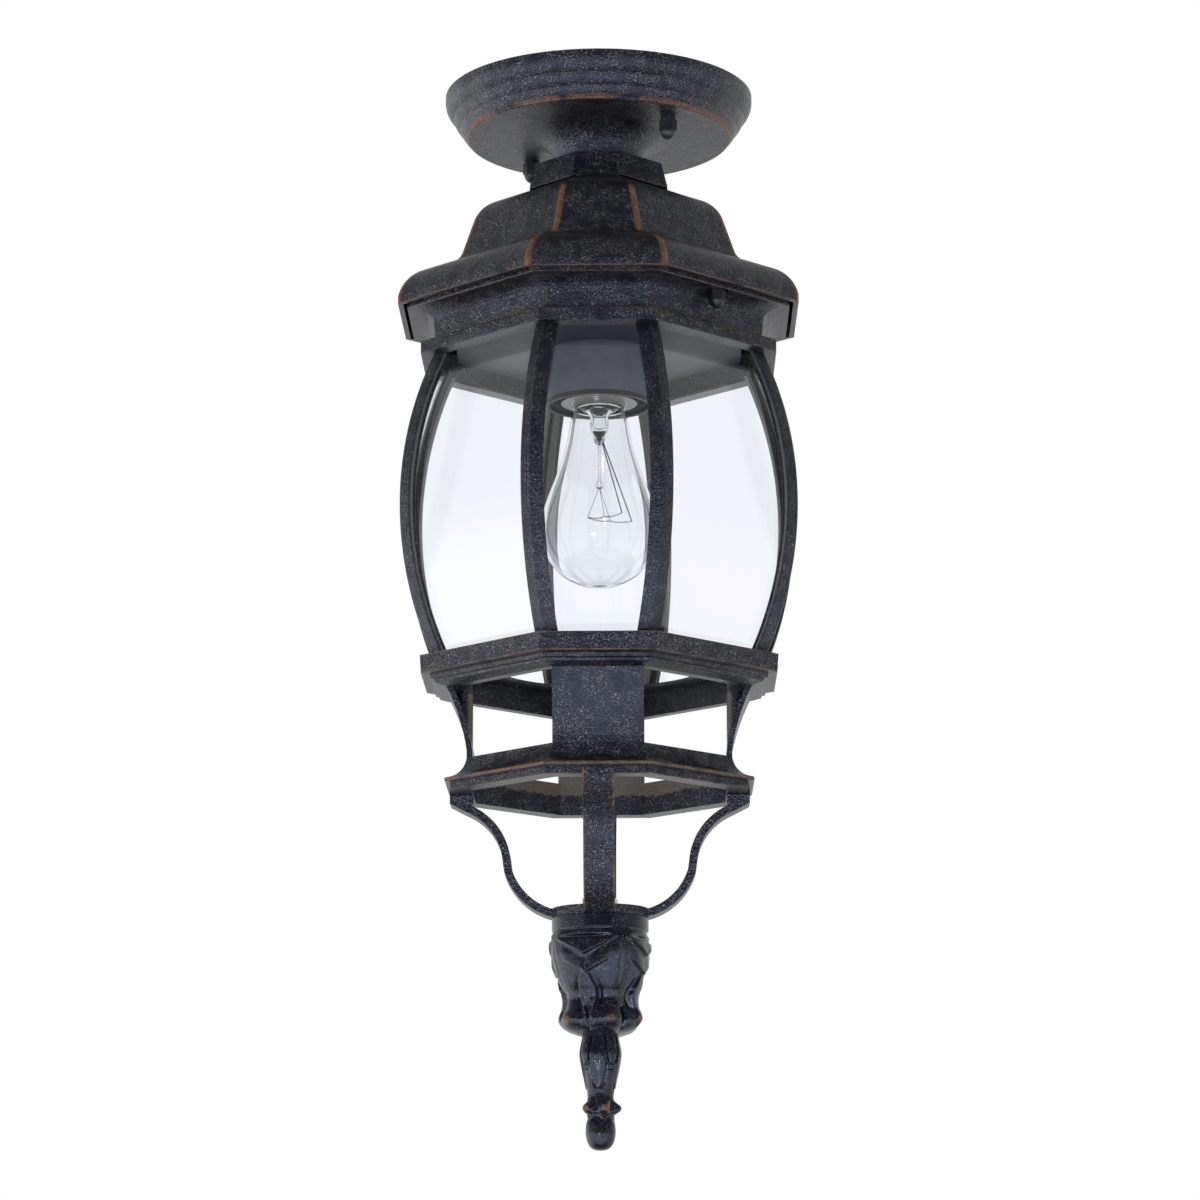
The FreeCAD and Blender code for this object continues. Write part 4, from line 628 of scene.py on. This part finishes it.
FOLD_BACK = 6.5
FOLD_SINK = 0.35
RIB_WIDTHS = ((-484.0, 0.07), (-478.0, 0.12), (-468.0, 0.30), (-461.0, 0.18), (-456.0, 0.05))
RIB_LEVEL = -470
RIB_HEIGHT = 3.0
SEAM_LEVEL = -455
SEAM_DEPTH = 0.6
LOBES = 6
LOBE_FRONT = FRONT + 10
LOBE_LEVEL = -479.5
LOBE_HEIGHT = 4.0
LOBE_SINK = 2.5
CREASE_DEPTH = 1.3
ROD_BORE = 4.05
CUP_STEPS = 150
CUP_AROUND = 288


def fold_relief(share, height):
    """Folds that rise from the middle of the leaf to its sides, each sharp along its foot."""
    relief = 0.0
    for apex, end in FOLDS:
        above = height - apex - FOLD_RISE * min(share, 0.9)
        foot = between((above + 1.0) / FOLD_FOOT)
        step = foot * foot * (3 - 2 * foot)
        back = max(0.0, 1 - max(above, 0.0) / FOLD_BACK)
        relief += FOLD_HEIGHT * max(0.0, 1 - (share / end) ** 4) * (step * back - FOLD_SINK)
    return relief


def rib_relief(share, height):
    """Rib down the middle of the leaf, with a hollow along each side of it."""
    edge = smooth_value(RIB_WIDTHS, height)
    rib = RIB_HEIGHT * between((edge + 0.07 - share) / 0.10) * wave(height - RIB_LEVEL, 17)
    return rib - wave(share - edge - 0.13, 0.15) * wave(height - RIB_LEVEL - 1, 13)


def lobe_relief(angle, height):
    """Curled lobes round the lip, parted by short creases."""
    lobe = nearest_turn(angle, LOBE_FRONT, LOBES)
    swell = LOBE_HEIGHT * abs(math.cos(math.radians(lobe * LOBES / 2))) ** 0.7 - LOBE_SINK
    crease = wave(abs(lobe) - 180 / LOBES, 5.0) * wave(height - LOBE_LEVEL - 2.5, 11)
    return swell * wave(height - LOBE_LEVEL, 9.5) - CREASE_DEPTH * crease


def cup_radius(radius, height, angle):
    """Leaf relief of the cup on the side; its ends and its bore stay turned."""
    if radius < CARVED_FROM or height > COLLAR_FOOT:
        return radius
    share = abs(nearest_turn(angle, LEAF_FRONT, LEAVES)) * LEAVES / 180
    groove = wave(height - GROOVE_LEVEL, 1.7) * max(0.0, 1 - (share / GROOVE_END) ** 2)
    seam = wave(share - 1, 0.10) * wave(height - SEAM_LEVEL, 16)
    relief = fold_relief(share, height) + rib_relief(share, height) + lobe_relief(angle, height)
    return radius + relief - GROOVE_DEPTH * groove - SEAM_DEPTH * seam


finial_coat = coated("coat_finial", fleck=0.45, rough=0.18, depth=0.15 * MM,
                     tips=((-523.6 * MM, 2.6 * MM, 8.9 * MM), (-480.5 * MM, 3.4 * MM, 20.6 * MM)))
cup_foot, cup_top = CUP_OUTLINE[0][0], CUP_OUTLINE[-1][0]
cup_side = []
for step in range(CUP_STEPS + 1):
    height = cup_foot + (cup_top - cup_foot) * step / CUP_STEPS
    cup_side.append((smooth_value(CUP_OUTLINE, height), height))
cup_bore = [(ROD_BORE, cup_top), (ROD_BORE, cup_foot)]
leaf_cup = turned("leaf_cup", cup_side + cup_bore, CUP_AROUND, finial_coat, cup_radius)
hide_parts("finial_cup")
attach(leaf_cup, "cage")

# %% [markdown]
# ## Bud and ball
#
# Four long narrow leaves and four short ones close round the bud. Five small knobs stand out
# under them, and the casting ends in a smooth drop with a low wavy ridge round its top.

# %% Bud and ball
BUD_OUTLINE = ((-544.0, 0.0), (-543.7, 2.4), (-542.8, 4.4), (-541.0, 6.0), (-538.5, 7.0),
               (-535.0, 7.5), (-531.5, 7.3), (-528.5, 6.6), (-526.8, 6.3), (-524.5, 7.2),
               (-522.3, 7.3), (-520.0, 6.9), (-517.5, 6.5), (-514.5, 6.8), (-511.5, 7.3),
               (-508.6, 7.9), (-505.6, 8.6), (-502.6, 9.2), (-499.6, 9.7), (-496.5, 10.0),
               (-493.5, 9.7), (-490.5, 9.1), (-487.6, 8.6))
LONG_LEAF = ((-514.2, 0.0), (-512.8, 9.0), (-510.0, 17.0), (-503.0, 25.0), (-495.0, 24.0),
             (-488.0, 19.0))
SHORT_LEAF = ((-502.4, 0.0), (-501.2, 8.0), (-498.5, 14.0), (-493.0, 18.0), (-488.0, 17.0))
BUD_LEAF_FRONT = FRONT - 8
BUD_LEAVES = ((LONG_LEAF, BUD_LEAF_FRONT, 0.5), (SHORT_LEAF, BUD_LEAF_FRONT + 45, 0.7))
LEAF_EDGE_DEPTH = 0.6
VEIN_LEVEL = -497
VEIN_DEPTH = 0.3
KNOBS = 5
KNOB_FRONT = FRONT + 16
KNOB_LEVEL = -523.3
KNOB_HEIGHT = 3.1
HOLLOW_DEPTH = 0.7
RIDGE_LEVEL = -528.0
RIDGE_HEIGHT = 0.5
ROD_END = -505.5
SMALLEST = 0.05
BUD_STEPS = 190
BUD_AROUND = 240


def knob_relief(angle, height):
    """Knobs with hollows between them, and the ridge that waves along under them."""
    knob = nearest_turn(angle, KNOB_FRONT, KNOBS)
    ball = wave(knob, 31) * wave(height - KNOB_LEVEL, 4.4)
    hollow = wave(abs(knob) - 180 / KNOBS, 10) * wave(height - KNOB_LEVEL - 0.7, 5.0)
    ridge = wave(height - RIDGE_LEVEL - abs(knob) * 0.05, 1.1)
    return KNOB_HEIGHT * ball - HOLLOW_DEPTH * hollow + RIDGE_HEIGHT * ridge


def bud_radius(radius, height, angle):
    """Leaves above the waist, knobs and ridge below it; the bore stays turned."""
    if radius <= ROD_BORE:
        return radius
    relief = knob_relief(angle, height)
    arc = math.radians(radius)
    for widths, first, proud in BUD_LEAVES:
        if height > widths[0][0] - 2:
            half_width = smooth_value(widths, height)
            beyond = (abs(nearest_turn(angle, first, LEAVES)) - half_width) * arc
            relief += proud * between(0.5 - beyond) - LEAF_EDGE_DEPTH * wave(beyond - 0.6, 1.2)
    vein = nearest_turn(angle, BUD_LEAF_FRONT, LEAVES) * arc
    relief -= VEIN_DEPTH * wave(vein, 1.2) * wave(height - VEIN_LEVEL, 8)
    return max(radius + relief, SMALLEST)


bud_foot, bud_top = BUD_OUTLINE[0][0], BUD_OUTLINE[-1][0]
bud_side = []
for step in range(BUD_STEPS + 1):
    height = bud_foot + (bud_top - bud_foot) * (step / BUD_STEPS) ** 1.15
    bud_side.append((smooth_value(BUD_OUTLINE, height), height))
bud_bore = [(ROD_BORE, bud_top), (ROD_BORE, ROD_END), (0.0, ROD_END)]
leaf_bud = turned("leaf_bud", bud_side + bud_bore, BUD_AROUND, finial_coat, bud_radius)
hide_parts("finial_tip")
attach(leaf_bud, "cage")

# %% [markdown]
# ## Clear lamp
#
# Blown glass is thin and perfectly smooth, so its facets would show at once in what it bends.
# The bulb and its inner stem are turned again with many steps, closer together near the pole.
# The glass rod on the stem ends in a button, from which the supports fan out.

# %% Lamp glass
BULB_OUTLINE = ((-260.0, 0.0), (-259.2, 6.8), (-256.6, 13.6), (-251.6, 20.9), (-245.0, 26.0),
                (-237.0, 29.2), (-230.0, 30.0), (-222.0, 29.0), (-213.0, 26.3), (-204.0, 22.9),
                (-195.0, 19.6), (-187.0, 17.2), (-180.0, 15.8), (-173.0, 14.8), (-168.5, 13.2),
                (-166.5, 12.3))
BULB_WALL = 0.6
BULB_STEPS = 90
BULB_AROUND = 128
STEM_OUTLINE = ((0.0, -185.6), (1.9, -185.2), (2.6, -183.0), (3.4, -180.0), (4.6, -178.2),
                (4.8, -175.0), (4.8, -171.0), (6.4, -168.0), (10.8, -167.0), (10.8, -166.5),
                (5.2, -167.2), (3.6, -171.0), (3.6, -177.0), (0.0, -178.0))
STEM_AROUND = 48
ROD_OUTLINE = ((0.0, -208.6), (1.6, -208.2), (2.3, -206.8), (1.7, -205.2), (0.9, -204.0),
               (0.8, -195.0), (0.8, -186.2), (0.0, -185.4))
ROD_AROUND = 24

bulb_foot, bulb_top = BULB_OUTLINE[0][0], BULB_OUTLINE[-1][0]
bulb_side = []
for step in range(BULB_STEPS + 1):
    share = step / BULB_STEPS
    height = bulb_foot + (bulb_top - bulb_foot) * (share * share * (1.9 - 0.9 * share))
    bulb_side.append((smooth_value(BULB_OUTLINE, height), height))
inner_foot = bulb_foot + BULB_WALL
bulb_inner = [(max(radius - BULB_WALL, 0.0), max(height, inner_foot))
              for radius, height in reversed(bulb_side)]
bulb_inner[-1] = (0.0, inner_foot)
bulb = turned("blown_bulb", bulb_side + bulb_inner, BULB_AROUND, lamp_glass)
stem = turned("glass_stem", STEM_OUTLINE, STEM_AROUND, lamp_glass)
rod = turned("glass_rod", ROD_OUTLINE, ROD_AROUND, lamp_glass)
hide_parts("bulb_glass")
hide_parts("bulb_stem")

# %% [markdown]
# ## Lamp wires
#
# The wires inside the lamp are curves: two stiff leads, three thin supports from the glass
# button, and a coiled filament hung from one to the next, sagging a little on its way.

# %% Lamp wires
LEAD_ENDS = ((11.5, -8.0, -222.8), (16.5, 8.0, -223.4))
HOOKS = ((-6.0, 0.0, -223.2), (2.6, -3.6, -223.8), (5.4, 4.0, -224.2))
BUTTON = (0.0, 0.0, -207.4)
LEAD_RADIUS = 0.32
SUPPORT_RADIUS = 0.14
FILAMENT_RADIUS = 0.10
COIL_RADIUS = 0.30
STEPS_PER_TURN = 8


def wires(name, runs, radius):
    """Several round wires in one piece, each a list of points in millimetres."""
    curve = bpy.data.curves.new(name, "CURVE")
    curve.dimensions = "3D"
    curve.bevel_depth = radius * MM
    curve.bevel_resolution = 3
    curve.use_fill_caps = True
    for run in runs:
        spline = curve.splines.new("POLY")
        spline.points.add(len(run) - 1)
        for point, (x, y, z) in zip(spline.points, run):
            point.co = (x * MM, y * MM, z * MM, 1)
    curve.materials.append(tungsten)
    item = bpy.data.objects.new(name, curve)
    bpy.context.scene.collection.objects.link(item)
    return item


def coiled(start, end, turns, sag):
    """Points of a fine coil along a line that sags a little."""
    first, last = Vector(start), Vector(end)
    along = (last - first).normalized()
    across = along.cross(Vector((0, 0, 1))).normalized()
    upward = across.cross(along)
    count = turns * STEPS_PER_TURN
    points = []
    for step in range(count + 1):
        share = step / count
        angle = math.tau * turns * share
        droop = Vector((0, 0, -4 * sag * share * (1 - share)))
        around = (across * math.cos(angle) + upward * math.sin(angle)) * COIL_RADIUS
        points.append(tuple(first.lerp(last, share) + droop + around))
    return points


leads = wires("lamp_leads", [[(1.4, -0.5, -184), LEAD_ENDS[0]], [(2.0, 0.8, -184), LEAD_ENDS[1]]],
              LEAD_RADIUS)
supports = wires("lamp_supports", [[BUTTON, hook] for hook in HOOKS], SUPPORT_RADIUS)
coil = wires("lamp_filament", [
    coiled(LEAD_ENDS[0], HOOKS[1], 22, 0.7), coiled(HOOKS[1], HOOKS[0], 22, 0.7),
    coiled(HOOKS[0], HOOKS[2], 26, 0.8), coiled(HOOKS[2], LEAD_ENDS[1], 24, 0.7)],
             FILAMENT_RADIUS)
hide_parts("filament")
lamp_pieces = ((bulb, "bulb_glass"), (stem, "bulb_glass"), (rod, "bulb_glass"),
               (leads, "filament_metal"), (supports, "filament_metal"), (coil, "filament_metal"))
for piece, slot in lamp_pieces:
    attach(piece, "bulb")
print("lamp pieces", len(lamp_pieces))

# %% [markdown]
# ## Rounded edges
#
# Cast and cut edges are never sharp: a rounding of a few tenths of a millimetre is what catches
# a line of light. The rigid model stays as it is, so the rounding comes from modifiers: one
# joins the split corners of the faces, one bevels every hard edge, one shades smoothly over it.

# %% Rounded edges
JOIN_DISTANCE = 1e-6
ROUND_STEPS = 2
HARD_ANGLE = 28
CAST_ROUNDING = 0.5 * MM
POST_ROUNDING = 0.35 * MM


def round_edges(item, width):
    """Round every hard edge of a rigid piece without touching its mesh."""
    weld = item.modifiers.new("join", "WELD")
    weld.merge_threshold = JOIN_DISTANCE
    bevel = item.modifiers.new("round", "BEVEL")
    bevel.width = width
    bevel.segments = ROUND_STEPS
    bevel.limit_method = "ANGLE"
    bevel.angle_limit = math.radians(HARD_ANGLE)
    bevel.harden_normals = False
    bevel.use_clamp_overlap = True
    weighted = item.modifiers.new("shade", "WEIGHTED_NORMAL")
    weighted.keep_sharp = True


for name in ("roof", "top_frame", "bottom_ring", "crown", "basket"):
    round_edges(pieces[name], CAST_ROUNDING)
for number in range(1, 9):
    round_edges(pieces[f"post_{number}"], POST_ROUNDING)
print("rounded", sum(1 for item in pieces.values() if item.modifiers))

# %% [markdown]
# ## The room
#
# The lantern was seen in front of a plain white backdrop, in light that comes mostly from low in
# front and from the left, while it is dark higher up. A dark glossy coat shows the room more
# than it shows lamps, and bright panels in the room would leave hard borders in it. So the world
# answers by the kind of ray. The camera sees white and glass nearly white, matte faces get an
# even light, and gloss sees a room that changes softly with direction: bright and bluish low in
# front, bright on the left, half as bright on the right, dark in front and above.

# %% World
WORLD_LIGHT = 0.55
BEHIND_CAMERA = 0.80
GLOSS_FRONT = 0.04
GLOSS_ABOVE = 0.28
GLOSS_BEHIND = 0.80
GLOSS_LOW = 2.3
GLOSS_LEFT = 1.9
GLOSS_RIGHT = 0.95
WHITE = (1, 1, 1, 1)
LOW_TINT = (0.74, 0.79, 1.0, 1.0)

world = bpy.data.worlds.new("studio")
bpy.context.scene.world = world
world.use_nodes = True
tree = world.node_tree
tree.nodes.clear()
path = tree.nodes.new("ShaderNodeLightPath").outputs
place = tree.nodes.new("ShaderNodeTexCoord")
split = tree.nodes.new("ShaderNodeSeparateXYZ")
tree.links.new(place.outputs["Generated"], split.inputs[0])


def fade(axis, start, end, low=0.0, high=1.0):
    """Strength that goes softly from low to high along one axis of the direction."""
    ramp = tree.nodes.new("ShaderNodeMapRange")
    ramp.interpolation_type = "SMOOTHSTEP"
    limits = {"From Min": start, "From Max": end, "To Min": low, "To Max": high}
    for socket, value in limits.items():
        ramp.inputs[socket].default_value = value
    tree.links.new(split.outputs[axis], ramp.inputs["Value"])
    return ramp.outputs["Result"]


def choose(share, first, second):
    """Strength that is first where share is 0 and second where it is 1."""
    mix = tree.nodes.new("ShaderNodeMix")
    mix.data_type = "FLOAT"
    for number, value in ((0, share), (2, first), (3, second)):
        if isinstance(value, float):
            mix.inputs[number].default_value = value
        else:
            tree.links.new(value, mix.inputs[number])
    return mix.outputs[0]


def both(first, second):
    """Share of what lies in two fades at once."""
    return choose(first, 0.0, second)


low_front = both(fade("Y", -0.25, -0.75), fade("Z", 0.04, -0.30))
level = both(fade("Z", 0.30, -0.15), fade("Z", -0.85, -0.45, 0.35))
gloss = fade("Y", -0.15, 0.65, GLOSS_FRONT, GLOSS_BEHIND)
gloss = choose(fade("Z", 0.15, 0.9), gloss, GLOSS_ABOVE)
gloss = choose(both(fade("X", -0.40, -0.85), level), gloss, GLOSS_LEFT)
gloss = choose(both(fade("X", 0.40, 0.85), level), gloss, GLOSS_RIGHT)
gloss = choose(low_front, gloss, GLOSS_LOW)
through = fade("Y", -0.55, 0.25, BEHIND_CAMERA)

# A ray that glass has bent counts as glossy too, so the choice for glass comes after gloss.
strength = choose(path["Is Glossy Ray"], WORLD_LIGHT, gloss)
strength = choose(path["Is Transmission Ray"], strength, through)
strength = choose(path["Is Camera Ray"], strength, 1.0)
blueness = choose(path["Is Transmission Ray"], both(path["Is Glossy Ray"], low_front), 0.0)
tint = tree.nodes.new("ShaderNodeMix")
tint.data_type = "RGBA"
tint.inputs[6].default_value = WHITE
tint.inputs[7].default_value = LOW_TINT
sky = tree.nodes.new("ShaderNodeBackground")
out = tree.nodes.new("ShaderNodeOutputWorld")
tree.links.new(blueness, tint.inputs[0])
tree.links.new(tint.outputs[2], sky.inputs["Color"])
tree.links.new(strength, sky.inputs["Strength"])
tree.links.new(sky.outputs[0], out.inputs["Surface"])
print("world nodes", len(tree.nodes))

# %% [markdown]
# ## Lamps and floor
#
# Three wide lamps model the forms: a bluish one low in front, a strong one on the left and a
# weaker one on the right. Neither gloss nor glass sees them, since the room above already gives
# both what they show. A small fourth lamp is seen in gloss and leaves the one window highlight.
# A pale floor well below sends light back up to the undersides, and only matte faces see it.

# %% Lamps and floor
MIDDLE = (0, 0, -0.27)
FLOOR_LEVEL = -1.05
FLOOR_HALF = 4.0
FLOOR_PARTS = 8
PAPER = (0.80, 0.80, 0.80)
PAPER_PALE = (0.84, 0.84, 0.84)


def lamp(name, place, size, power, colour):
    """Rectangular lamp that points at the middle of the lantern."""
    light = bpy.data.lights.new(name, "AREA")
    light.shape = "RECTANGLE"
    light.size, light.size_y = size
    light.energy = power
    light.color = colour
    item = bpy.data.objects.new(name, light)
    bpy.context.scene.collection.objects.link(item)
    item.location = place
    item.rotation_euler = (Vector(MIDDLE) - Vector(place)).to_track_quat("-Z", "Y").to_euler()
    item.visible_camera = False
    return item


front = lamp("front", (0.15, -1.7, -0.95), (1.2, 0.9), 14, (0.76, 0.84, 1.0))
left = lamp("left", (-1.9, -0.45, -0.45), (1.4, 1.7), 28, (0.97, 0.96, 1.0))
right = lamp("right", (1.9, -0.45, -0.35), (1.4, 1.7), 14, (0.93, 0.95, 1.0))
lamp("window", (-0.40, -1.9, -0.85), (0.22, 0.36), 4, (0.85, 0.92, 1.0))

floor_mesh = bpy.data.meshes.new("floor")
builder = bmesh.new()
bmesh.ops.create_grid(builder, x_segments=FLOOR_PARTS, y_segments=FLOOR_PARTS, size=FLOOR_HALF)
builder.to_mesh(floor_mesh)
builder.free()
floor = bpy.data.objects.new("floor", floor_mesh)
bpy.context.scene.collection.objects.link(floor)
floor.location.z = FLOOR_LEVEL
floor.visible_camera = False
paper = Finish("floor_paper")
floor_mesh.materials.append(paper.surface(
    Base_Color=paper.blend(paper.noise(3, 2), PAPER, PAPER_PALE), Roughness=0.8,
    Specular_IOR_Level=0.2))
for soft in (front, left, right, floor):
    soft.visible_glossy = False
    soft.visible_transmission = False
print("lights", len(bpy.data.lights))
